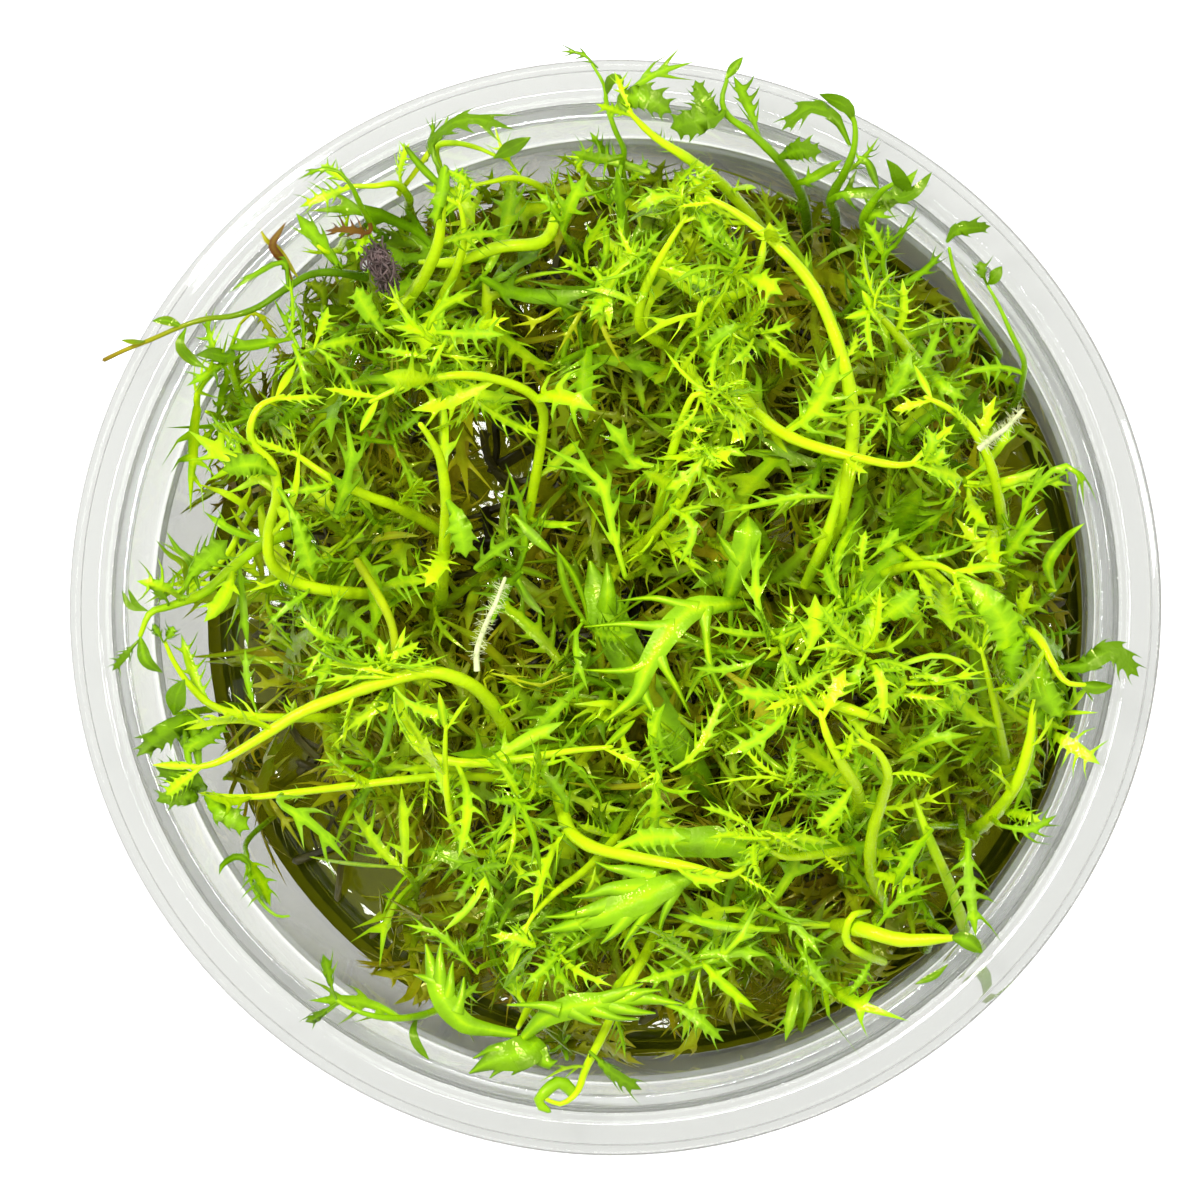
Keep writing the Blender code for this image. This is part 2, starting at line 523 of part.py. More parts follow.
class Plant:
    """Grows the shoots one by one, and keeps each leaf clear of everything else by the gap."""

    def __init__(self, parts, cutters, solid_trees):
        self.parts = parts
        self.cutters = cutters
        self.fixed = solid_trees
        self.trees = {}

    def is_clear(self, tree, owner):
        others = [t for name, found in self.trees.items() if name != owner for t in found]
        return not any(tree.overlap(other) for other in self.fixed + others)

    def add_stem(self, shoot):
        """The stem's tube, as a mesh object. Its leaves are fused to it later."""
        points = stem_points(shoot)
        radii = stem_radii(len(points), shoot.radius)
        mesh = tube_mesh(shoot.name, points, radii, 1 if shoot.radius > THICK_STEM else 0)
        obj = link(shoot.name, mesh, self.parts, shoot.slot)
        self.trees[shoot.name] = [tree_of(mesh)]
        return obj

    def fuse_leaf(self, stem, name, foot, tip, kind, roll):
        """Fuses a leaf to its stem and returns True, if the leaf is clear of all the rest."""
        length = (tip - foot).length
        mesh = leaf_mesh(name, length, kind)
        matrix = leaf_matrix(foot, tip, roll)
        if not self.is_clear(tree_of(mesh, matrix, GAP), stem.name):
            bpy.data.meshes.remove(mesh)
            return False
        self.trees[stem.name].append(tree_of(mesh, matrix))
        self.fuse(stem, name, mesh, matrix)
        return True

    def fuse(self, stem, name, mesh, matrix):
        leaf = link(name, mesh, self.cutters)
        leaf.matrix_world = matrix
        leaf.hide_render = True
        leaf.display_type = "WIRE"
        union = stem.modifiers.new(name, "BOOLEAN")
        union.operation = "UNION"
        union.solver = "EXACT"
        union.object = leaf

    def add_placed_leaves(self, shoot, stem):
        """Leaves that end at the tips written with the shoot. One that would touch is turned."""
        points = stem_points(shoot)
        for number, (*tip_place, kind) in enumerate(shoot.tips, 1):
            tip = seen_from_above(*tip_place)
            upper = points[len(points) // 2:]
            foot = min(upper, key=lambda point: (point - tip).length)
            for share, roll in itertools.product(LENGTH_SHARES, ROLLS):
                end = foot.lerp(tip, share)
                if self.fuse_leaf(stem, f"{shoot.name}_leaf_{number}", foot, end, kind, roll):
                    break

    def add_leaves_by_rule(self, shoot, stem):
        """Comb leaves at even steps up the stem, each a golden turn on from the one before."""
        points = stem_points(shoot)
        for number in range(shoot.more):
            share = RULE_START + RULE_STRETCH * (number + 0.5) / shoot.more
            index = max(1, min(len(points) - 2, round(share * (len(points) - 1))))
            along = (points[index + 1] - points[index - 1]).normalized()
            side = along.orthogonal().normalized()
            for attempt in range(RULE_ATTEMPTS):
                turn = Matrix.Rotation(LEAF_TURN * (number + 1) + ATTEMPT_TURN * attempt, 3, along)
                way = (along * 0.5 + turn @ side + Vector((0, 0, 0.25))).normalized()
                length = RULE_LENGTH - RULE_SHORTENING * attempt
                name = f"{shoot.name}_side_leaf_{number + 1}"
                if self.fuse_leaf(stem, name, points[index], points[index] + way * length, "comb", 0.2):
                    break


def add_ribbon_leaf(name, route, widths_mm, parts):
    """A long leaf: a flattened tube whose width changes along its route."""
    points = route_points(route)
    mesh = tube_mesh(name, points, [width * MM / 2 for width in widths_mm], 1)
    spine = BVHTree.FromPolygons(points, [(i, i + 1, i) for i in range(len(points) - 1)])
    for vertex in mesh.vertices:
        nearest = spine.find_nearest(vertex.co)[0]
        away = vertex.co - nearest
        flat = 0.35 if nearest.z > GEL_TOP + 12 * MM else 0.9
        vertex.co = nearest + Vector((away.x, away.y, away.z * flat))
    return link(name, mesh, parts, "green_leaf")


def build():
    clear_scene()
    parts = new_collection("mermaid_weed")
    cutters = new_collection("fused_shapes")
    cup = turned("culture_cup", cup_profile(), "cup_plastic", parts)
    gel = turned("nutrient_gel", gel_profile(), "nutrient_gel", parts)
    bpy.context.view_layer.update()
    graph = bpy.context.evaluated_depsgraph_get()
    fixed = [tree_of(obj.evaluated_get(graph).to_mesh()) for obj in (cup, gel)]
    fixed.append(tree_of(box_mesh("well", WELL_LOW, WELL_HIGH)))
    plant = Plant(parts, cutters, fixed)
    stems = {shoot.name: plant.add_stem(shoot) for shoot in SHOOTS}

    blade = add_ribbon_leaf("broad_blade_leaf", BLADE_LEAF_ROUTE, BLADE_LEAF_WIDTHS, parts)
    star = add_ribbon_leaf("star_lobed_leaf", STAR_LEAF_ROUTE, STAR_LEAF_WIDTHS, parts)
    for number, (foot, tip) in enumerate(STAR_LOBES, 1):
        ends = route_points((foot, tip))
        lobe = tube_mesh(f"star_lobe_{number}", ends, LOBE_RADII, 0)
        plant.fuse(star, f"star_lobe_{number}", lobe, Matrix.Identity(4))
        plant.trees.setdefault(star.name, []).append(tree_of(lobe))
    for leaf in (blade, star):
        plant.trees.setdefault(leaf.name, []).append(tree_of(leaf.data))
    for name, route in ROOTS:
        points = route_points(route)
        radii = [ROOT_RADIUS * MM * (1 - 0.5 * i / len(points)) for i in range(len(points))]
        root = link(name, tube_mesh(name, points, radii, 1), parts, "white_root")
        plant.trees[name] = [tree_of(root.data)]
    tuft_points = route_points(TUFT_ROUTE)
    tuft_radii = [TUFT_RADIUS * MM * share for share in (0.5, 1.0, 0.55)]
    tuft = link("withered_tuft", tube_mesh("withered_tuft", tuft_points, tuft_radii, 1), parts,
                "withered_tissue")
    plant.trees[tuft.name] = [tree_of(tuft.data)]

    for shoot in SHOOTS:
        plant.add_placed_leaves(shoot, stems[shoot.name])
    for shoot in SHOOTS:
        plant.add_leaves_by_rule(shoot, stems[shoot.name])


build()
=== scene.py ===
"""Mermaid weed growing in an open clear culture cup, seen nearly straight from above.

Units are metres and +Z is up. The origin is the middle of the cup's flat underside. Routes of
stems and leaves are written as they are seen from the eye above the cup: how far across and how
far down in a 1200 pixel picture, and a height in millimetres. View.place turns them into places.
"""

import logging
import math
from dataclasses import dataclass
from enum import Enum
from typing import Callable, Sequence

import bpy
import numpy as np
from mathutils import Matrix, Vector


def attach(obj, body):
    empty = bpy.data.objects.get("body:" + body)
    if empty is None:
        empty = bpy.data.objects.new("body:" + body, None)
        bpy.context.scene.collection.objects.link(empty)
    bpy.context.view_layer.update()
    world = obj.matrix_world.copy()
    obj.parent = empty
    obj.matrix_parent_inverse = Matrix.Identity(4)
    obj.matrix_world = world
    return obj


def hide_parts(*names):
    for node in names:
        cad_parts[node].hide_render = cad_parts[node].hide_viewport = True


MM = 0.001
UP = np.array([0.0, 0.0, 1.0])
GOLDEN_TURN = 137.5
LOG = logging.getLogger("mermaid_weed")

Pair = tuple[float, float]
Place = tuple[float, float, float]
Colour = tuple[float, float, float]
Route = Sequence[Place]
Profile = Sequence[Pair]
Faces = list[tuple[int, ...]]
Array = np.ndarray
Material = bpy.types.Material
Piece = bpy.types.Object


@dataclass(frozen=True)
class View:
    """The camera above the cup, in millimetres, and the places that its picture shows."""

    eye: Place = (42.3, -14.2, 500.0)
    aim: Place = (-0.82, 0.49, 50.0)
    lens: float = 149.0
    sensor: float = 36.0
    picture: float = 1200.0
    nearest: float = 10.0

    def axes(self) -> tuple[Vector, Vector, Vector]:
        """Works out how the camera is turned.

        Returns:
            Its right, up and forward directions.
        """
        forward = (Vector(self.aim) - Vector(self.eye)).normalized()
        right = forward.cross(Vector((0.0, 1.0, 0.0))).normalized()
        return right, right.cross(forward), forward

    def place(self, route: Route) -> Array:
        """Finds the real places of points that the picture shows.

        Args:
            route: Points in pixels across, pixels down and mm up.

        Returns:
            The places in metres.
        """
        seen = np.asarray(route, float)
        right, up, forward = (np.array(axis) for axis in self.axes())
        spread = self.sensor / self.picture / self.lens
        across = (seen[:, 0] - self.picture / 2) * spread
        rise = (self.picture / 2 - seen[:, 1]) * spread
        ray = forward + across[:, None] * right + rise[:, None] * up
        eye = np.array(self.eye)
        return (eye + ray * ((seen[:, 2] - eye[2]) / ray[:, 2])[:, None]) * MM

    def add_camera(self) -> None:
        """Makes the scene's camera."""
        camera = bpy.data.objects.new("camera", bpy.data.cameras.new("camera"))
        bpy.context.scene.collection.objects.link(camera)
        right, up, forward = self.axes()
        turn = Matrix((right, up, -forward)).transposed().to_4x4()
        turn.translation = Vector(self.eye) * MM
        camera.matrix_world = turn
        camera.data.sensor_width = self.sensor
        camera.data.lens = self.lens
        camera.data.clip_start = self.nearest * MM
        bpy.context.scene.camera = camera


VIEW = View()


@dataclass(frozen=True)
class CupSize:
    """The cup's radii and heights in millimetres, as the CAD model has them, and how plants meet it."""

    height: float = 50.0
    floor: float = 1.2
    wall: float = 1.1
    base_radius: float = 41.0
    corner_radius: float = 43.9
    corner_height: float = 3.2
    step_radius: float = 43.4
    step_height: float = 39.6
    step_width: float = 0.7
    lip_inner: float = 44.4
    lip_outer: float = 45.9
    groove: float = 1.1
    flange_radius: float = 50.0
    flange_thickness: float = 0.9
    skirt: float = 2.2
    gel_top: float = 15.0
    meniscus: float = 1.2
    rooting_radius: float = 36.5
    rooting_rise: float = 1.0
    root_height: float = 15.4
    gap: float = 0.3
    # A leaf's points meet the cup from this radius on, up to this far over the lip
    met_radius: float = 42.8
    met_rise: float = 0.7
    # Above this height it is lifted over the lip, along a ramp of radii and heights
    lifted_from: float = 44.0
    ramp_radii: Pair = (38.5, 42.6)
    ramp_heights: Pair = (40.0, 50.8)
    # Any other is pressed against the wall, to these radii from the first height to the step
    pressed_radii: Pair = (42.2, 42.9)
    pressed_from: float = 5.0
    # How much of its own thickness a leaf keeps there
    squash: float = 0.3

    def inner_radius(self, height: float) -> float:
        """Works out how wide the cup is inside.

        Args:
            height: A height in millimetres.

        Returns:
            The inner wall's radius there, in millimetres.
        """
        low = self.corner_height + self.floor
        share = (min(height, self.step_height) - low) / (self.step_height - low)
        bottom = self.corner_radius - self.wall
        return bottom + share * (self.step_radius - bottom)

    def keep_inside(self, places: Array, radius: float) -> Array:
        """Draws a stem's points in from the wall, and its foot in to where a shoot can root.

        Args:
            places: Points in metres.
            radius: The stem's radius in millimetres.

        Returns:
            The points, moved in where they have to be.
        """
        kept = places.copy()
        for place in kept:
            height = place[2] / MM
            if height > self.height + radius + 2 * self.gap:
                continue
            room = self.inner_radius(height) - radius - 2 * self.gap
            if height < self.gel_top + self.rooting_rise:
                room = self.rooting_radius
            reach = math.hypot(place[0], place[1]) / MM
            place[:2] *= min(1.0, room / reach)
        return kept

    def rest_inside(self, points: Array) -> Array:
        """Lays a leaf over the lip if it meets it high up, and else presses it against the wall.

        Args:
            points: The leaf's vertices in metres.

        Returns:
            The vertices where they come to rest.
        """
        reach = np.hypot(points[:, 0], points[:, 1]) / MM
        height = points[:, 2] / MM
        blocked = (reach > self.met_radius) & (height < self.height + self.met_rise)
        if not blocked.any():
            return points
        if height[blocked].mean() > self.lifted_from:
            least = np.interp(reach, self.ramp_radii, self.ramp_heights)
            least += (height - height.min()) * self.squash
            points[:, 2] = np.where(reach > self.ramp_radii[0], np.maximum(height, least), height) * MM
            return points
        wall = np.interp(height, (self.pressed_from, self.step_height), self.pressed_radii)
        wall -= (reach.max() - reach) * self.squash
        points[:, :2] *= np.minimum(1.0, wall / np.maximum(reach, 1.0))[:, None]
        return points


CUP = CupSize()


class Socket:
    """A shader value, with arithmetic written as ordinary operators."""

    def __init__(self, tree: bpy.types.NodeTree, socket: bpy.types.NodeSocket) -> None:
        """Wraps a node's output socket."""
        self.tree = tree
        self.socket = socket

    def maths(self, operation: str, other: "Socket | float", clamp: bool = False) -> "Socket":
        """The result of a Math node that takes this value first, clamped to 0 to 1 or not."""
        settings = {"operation": operation, "use_clamp": clamp}
        return Nodes(self.tree).node("Math", 0, settings, (self, other))

    def __add__(self, other: "Socket | float") -> "Socket":
        """The sum."""
        return self.maths("ADD", other)

    __radd__ = __add__

    def __mul__(self, other: "Socket | float") -> "Socket":
        """The product."""
        return self.maths("MULTIPLY", other)

    __rmul__ = __mul__

    def __sub__(self, other: "Socket | float") -> "Socket":
        """This value less the other."""
        return self.maths("SUBTRACT", other)

    def __rsub__(self, other: float) -> "Socket":
        """The other less this value."""
        return (self * -1.0) + other

    def between(self, low: float, high: float) -> "Socket":
        """0 at low and below, 1 at high and above, and even between them."""
        return ((self - low) * (1.0 / (high - low))).maths("ADD", 0.0, clamp=True)

    def blend(self, first: "Socket | Colour", second: "Socket | Colour") -> "Socket":
        """A colour that goes from the first to the second as this value goes from 0 to 1."""
        # A Mix node in this mode takes its colours as inputs 6 and 7, and gives output 2
        values = {0: self, 6: first, 7: second}
        return Nodes(self.tree).node("Mix", 2, {"data_type": "RGBA"}, values)


class Nodes:
    """A node tree under construction, with one method that makes any node."""

    def __init__(self, tree: bpy.types.NodeTree) -> None:
        """Takes the tree that the nodes go in."""
        self.tree = tree

    def connect(self, place: bpy.types.NodeSocket, value: object) -> None:
        """Links a socket to an input, or sets a plain value or colour on it.

        Args:
            place: The input.
            value: A Socket, a number or a colour.
        """
        if isinstance(value, Socket):
            self.tree.links.new(value.socket, place)
        elif isinstance(value, tuple) and place.type == "RGBA":
            place.default_value = (*value, 1.0)
        else:
            place.default_value = value

    def node(self, kind: str, output: int | str = 0, settings: dict[str, object] | None = None,
             inputs: dict[int, object] | tuple[object, ...] = (), **values: object) -> Socket:
        """Makes a node.

        Args:
            kind: The node's type, without the leading ShaderNode.
            output: The output to give back.
            settings: Attributes to set before its inputs.
            inputs: Values or sockets by input number, or in order.
            **values: The same by input name, with _ for a space.

        Returns:
            That output as a Socket.
        """
        made = self.tree.nodes.new(f"ShaderNode{kind}")
        for key, value in (settings or {}).items():
            setattr(made, key, value)
        for number, value in (inputs.items() if isinstance(inputs, dict) else enumerate(inputs)):
            self.connect(made.inputs[number], value)
        for key, value in values.items():
            self.connect(made.inputs[key.replace("_", " ")], value)
        return Socket(self.tree, made.outputs[output])


class Finish(Nodes):
    """A material under construction."""

    def __init__(self, name: str) -> None:
        """Starts a material with only its output and a Principled shader.

        Args:
            name: What it is called.
        """
        self.material = bpy.data.materials.new(name)
        self.material.use_nodes = True
        super().__init__(self.material.node_tree)
        self.shader = self.tree.nodes["Principled BSDF"]
        self.output = self.tree.nodes["Material Output"]

    def shade(self, **values: object) -> None:
        """Sets the Principled shader's inputs, by name with _ for a space."""
        for key, value in values.items():
            self.connect(self.shader.inputs[key.replace("_", " ")], value)

    def attribute(self, name: str) -> Socket:
        """A per-vertex value of the mesh."""
        return self.node("Attribute", "Fac", {"attribute_name": name})

    def noise(self, scale: float, detail: float = 3.0) -> Socket:
        """Noise over the object's own space, about 0.5, with that many cells in a metre."""
        place = self.node("TexCoord", "Object")
        return self.node("TexNoise", Vector=place, Scale=scale, Detail=detail)

    def bump(self, height: Socket, strength: float, distance: float) -> None:
        """Bumps the Principled shader's normal."""
        self.shade(Normal=self.node("Bump", Height=height, Strength=strength, Distance=distance))


@dataclass(frozen=True)
class TissueFinish:
    """Living plant tissue: three greens from young to deep, and the colours that it withers to."""

    name: str = "plant_tissue"
    young: Colour = (0.5, 0.72, 0.004)
    leaf: Colour = (0.22, 0.45, 0.003)
    deep: Colour = (0.095, 0.21, 0.002)
    olive: Colour = (0.31, 0.27, 0.005)
    brown: Colour = (0.11, 0.032, 0.008)
    glint: Colour = (1.0, 1.0, 0.35)
    index: float = 1.42
    mottle_cells: float = 420.0
    mottle_share: float = 0.7
    withering_cells: float = 150.0
    withering_share: float = 0.3
    grain_cells: float = 2400.0
    grain_height: float = 0.1

    def make(self) -> Material:
        """Colours the tissue by its tone, from 0 young to 1 deep, and age, from 0 fresh to 1 brown.

        Returns:
            The material.
        """
        finish = Finish(self.name)
        mottle = finish.noise(self.mottle_cells, 2.0)
        tone = finish.attribute("tone") + (mottle - 0.5) * self.mottle_share
        withering = finish.noise(self.withering_cells, 1.0)
        age = finish.attribute("age") + (withering - 0.5) * self.withering_share
        green = tone.between(0.0, 0.5).blend(self.young, self.leaf)
        green = tone.between(0.5, 1.0).blend(green, self.deep)
        green = age.between(0.15, 0.6).blend(green, self.olive)
        colour = age.between(0.6, 1.0).blend(green, self.brown)
        gloss = mottle.between(0.4, 0.62) * 0.3 + 0.12
        finish.shade(Base_Color=colour, Roughness=gloss, IOR=self.index, Specular_Tint=self.glint)
        finish.bump(finish.noise(self.grain_cells, 1.0), 0.5, self.grain_height * MM)
        return finish.material


@dataclass(frozen=True)
class ClearFinish:
    """A clear material: its index, its roughness, and what a metre of it takes off."""

    name: str
    index: float
    roughness: float
    tint: Colour
    absorption: Colour
    density: float
    clarity: float
    ripple: float = 0.0
    # A darker tint painted on the rim and flange as the grey shade seen through them
    rim_shade_tint: Colour | None = None
    ripple_cells: float = 90.0
    ripple_height: float = 0.4

    def make(self) -> Material:
        """Gives plain transmission with a plain absorption inside, and a darker tint painted as shade on the
        rim and flange where the tone is 1.

        Returns:
            The material.
        """
        finish = Finish(self.name)
        finish.shade(Base_Color=self.tint, Roughness=self.roughness, IOR=self.index,
                     Transmission_Weight=self.clarity)
        # Where the tone is 1 the tint darkens, as painted shade on the rim and flange
        if self.rim_shade_tint:
            finish.shade(Base_Color=finish.attribute("tone").blend(self.tint, self.rim_shade_tint))
        inside = finish.node("VolumeAbsorption", Color=self.absorption, Density=self.density)
        finish.connect(finish.output.inputs["Volume"], inside)
        if self.ripple:
            finish.bump(finish.noise(self.ripple_cells, 2.0), self.ripple, self.ripple_height * MM)
        return finish.material


@dataclass(frozen=True)
class DullFinish:
    """A dull material whose colour wanders between two."""

    name: str
    first: Colour
    second: Colour
    roughness: float
    scale: float = 900.0

    def make(self) -> Material:
        """Mixes the two colours by noise.

        Returns:
            The material.
        """
        finish = Finish(self.name)
        colour = finish.noise(self.scale).between(0.35, 0.65).blend(self.first, self.second)
        finish.shade(Base_Color=colour, Roughness=self.roughness)
        return finish.material


class Mesh:
    """Collects the vertices, faces and values of one piece."""

    def __init__(self) -> None:
        """Starts empty."""
        self.points: list[Array] = []
        self.faces: Faces = []
        self.tone: list[Array] = []
        self.age: list[Array] = []
        self.count = 0

    def add(self, points: Array, faces: Faces, tone: object = 0.0,
            age: object = 0.0) -> None:
        """Adds a closed shape.

        Args:
            points: Its vertices in metres.
            faces: Its faces, by vertex.
            tone: How deep its green is, painted shade low down included, or on the cup how far the rim's
                painted shade tint sets in, all over or at each vertex.
            age: How withered it is, likewise.
        """
        start = self.count
        self.points.append(points)
        self.faces += [tuple(index + start for index in face) for face in faces]
        self.tone.append(np.broadcast_to(tone, len(points)))
        self.age.append(np.broadcast_to(age, len(points)))
        self.count += len(points)

    def build(self, name: str, finish: Material, crease: float = 70.0) -> Piece:
        """Makes the object.

        Args:
            name: The piece's name.
            finish: Its material.
            crease: How sharp an edge is that isn't smoothed, in degrees.

        Returns:
            The piece.
        """
        mesh = bpy.data.meshes.new(name)
        mesh.from_pydata(np.concatenate(self.points), [], self.faces)
        for key, values in (("tone", self.tone), ("age", self.age)):
            layer = mesh.attributes.new(key, "FLOAT", "POINT")
            layer.data.foreach_set("value", np.concatenate(values).astype(np.float32))
        mesh.shade_smooth()
        mesh.set_sharp_from_angle(angle=math.radians(crease))
        mesh.materials.append(finish)
        piece = bpy.data.objects.new(name, mesh)
        bpy.context.scene.collection.objects.link(piece)
        return piece


class Path:
    """A smooth curve through some points, with a level side direction along it."""

    fine_steps = 12

    def __init__(self, points: Array, step: float) -> None:
        """Runs a Catmull-Rom curve through the points and samples it at even steps.

        Args:
            points: The points, in metres.
            step: About how far apart the samples are, in metres.
        """
        ends = np.concatenate([[2 * points[0] - points[1]], points, [2 * points[-1] - points[-2]]])
        pieces = []
        share = np.linspace(0.0, 1.0, self.fine_steps, endpoint=False)[:, None]
        for a, b, c, d in zip(ends, ends[1:], ends[2:], ends[3:]):
            pieces.append(0.5 * ((2 * b) + (c - a) * share + (2 * a - 5 * b + 4 * c - d) * share ** 2
                                 + (3 * b - a - 3 * c + d) * share ** 3))
        dense = np.concatenate([*pieces, points[-1:]])
        along = np.concatenate([[0.0], np.cumsum(np.linalg.norm(np.diff(dense, axis=0), axis=1))])
        self.length = float(along[-1])
        self.knots = along[::self.fine_steps] / self.length
        count = max(3, round(self.length / step) + 1)
        even = np.linspace(0.0, self.length, count)
        self.points = np.stack([np.interp(even, along, dense[:, k]) for k in range(3)], axis=1)
        self.tangents = unit(np.gradient(self.points, axis=0))

    def at(self, share: float) -> tuple[Array, Array]:
        """Finds a place on the path.

        Args:
            share: How far along the path it is, from 0 to 1.

        Returns:
            The place, and the path's direction there.
        """
        index = share * (len(self.points) - 1)
        low = min(int(index), len(self.points) - 2)
        place = self.points[low] + (self.points[low + 1] - self.points[low]) * (index - low)
        return place, self.tangents[low]

    def sides(self, hint: Array) -> Array:
        """Directions across the path, square to it and to the hint where they can be."""
        return unit(np.cross(hint, self.tangents) + 1e-6)


def unit(vectors: Array) -> Array:
    """The vectors at length 1."""
    return vectors / np.maximum(np.linalg.norm(vectors, axis=-1, keepdims=True), 1e-12)


def frame_across(along: Array, turn: float) -> Array:
    """The direction square to a stem's, of length 1, that turn in radians round it."""
    first = unit(np.cross(along, [0.2, 0.1, 1.0]))
    return first * math.cos(turn) + np.cross(along, first) * math.sin(turn)


def tube(path: Path, radii: Array, sides: int) -> tuple[Array, Faces]:
    """Lays out a closed tube along a path.

    Args:
        path: The path.
        radii: The tube's radius at each of the path's points, in metres.
        sides: How many sides it has.

    Returns:
        Its vertices and faces.
    """
    normal = unit(np.cross(path.tangents[0], [0.3, 0.5, 0.8]))
    rings = []
    turns = np.linspace(0.0, math.tau, sides, endpoint=False)
    for place, tangent, radius in zip(path.points, path.tangents, radii):
        normal = unit(normal - tangent * float(normal @ tangent))
        other = np.cross(tangent, normal)
        rings.append(place + radius * (np.cos(turns)[:, None] * normal + np.sin(turns)[:, None] * other))
    points = np.concatenate([*rings, path.points[:1], path.points[-1:] + path.tangents[-1:] * radii[-1]])
    faces: Faces = []
    last_ring = (len(path.points) - 1) * sides
    first, last = last_ring + sides, last_ring + sides + 1
    for low in range(0, last_ring, sides):
        for side in range(sides):
            right = (side + 1) % sides
            faces.append((low + side, low + right, low + sides + right, low + sides + side))
    for side in range(sides):
        right = (side + 1) % sides
        faces.append((right, side, first))
        faces.append((last_ring + side, last_ring + right, last))
    return points, faces


class Kind(Enum):
    """The forms that the leaves take."""

    COMB = "comb"
    TOOTHED = "toothed"
    FAN = "fan"
    BLADE = "blade"
    PLUME = "plume"
    BROAD = "broad"


COMB, TOOTHED, FAN, BLADE, PLUME, BROAD = Kind


@dataclass(frozen=True)
class LeafForm:
    """A leaf's outline, with the widths given as shares of the leaf's half width."""

    lobes: int
    # Where the lobes start and end along the leaf
    first: float
    last: float
    # The blade's half width, and how far out the lobes reach, both along the leaf
    body: Profile
    reach: Profile
    # A lobe's root as a share of the room that it has, and how far its tip leans on
    root: float
    sweep: float
    # Sections of a lobe: how far out, and its width there as a share of its root
    taper: Profile = ((0.28, 0.5), (0.64, 0.27))
    missing: float = 0.1
    relief: float = 0.3


FORMS = {
    COMB: LeafForm(
        4, 0.18, 0.9, ((0, 0.09), (0.2, 0.11), (0.5, 0.19), (0.8, 0.14), (1, 0.03)),
        ((0.2, 0.65), (0.45, 1.0), (0.85, 0.65)), 0.5, 0.24, ((0.14, 0.66), (0.55, 0.42)), 0.12, 0.4),
    TOOTHED: LeafForm(
        4, 0.26, 0.92, ((0, 0.09), (0.25, 0.14), (0.55, 0.3), (0.8, 0.25), (0.94, 0.1), (1, 0.03)),
        ((0.3, 0.6), (0.55, 1.0), (0.8, 0.9), (0.95, 0.5)), 0.6, 0.22,
        ((0.18, 0.66), (0.58, 0.4)), 0.08, 0.35),
    FAN: LeafForm(
        4, 0.36, 0.92, ((0, 0.08), (0.35, 0.12), (0.62, 0.32), (0.85, 0.36), (0.95, 0.15), (1, 0.05)),
        ((0.42, 0.45), (0.68, 0.9), (0.9, 1.0)), 0.72, 0.24, ((0.2, 0.66), (0.6, 0.4)), 0.05, 0.3),
    BROAD: LeafForm(
        5, 0.26, 0.94, ((0, 0.12), (0.22, 0.28), (0.5, 0.56), (0.78, 0.46), (0.94, 0.17), (1, 0.05)),
        ((0.3, 0.5), (0.55, 1.0), (0.8, 0.9), (0.95, 0.5)), 0.84, 0.13,
        ((0.25, 0.62), (0.6, 0.36)), 0.1, 0.3),
    BLADE: LeafForm(
        0, 0.0, 1.0, ((0, 0.14), (0.1, 0.34), (0.25, 0.7), (0.4, 0.95), (0.52, 1.0), (0.65, 0.92),
                      (0.8, 0.64), (0.9, 0.36), (1, 0.05)), ((0, 0), (1, 0)), 1, 0),
    PLUME: LeafForm(
        3, 0.2, 0.8, ((0, 0.08), (0.5, 0.12), (1, 0.03)),
        ((0.1, 0.7), (0.45, 1.0), (0.8, 0.7)), 0.4, 0.32, ((0.4, 0.42),), 0.2, 0.6),
}


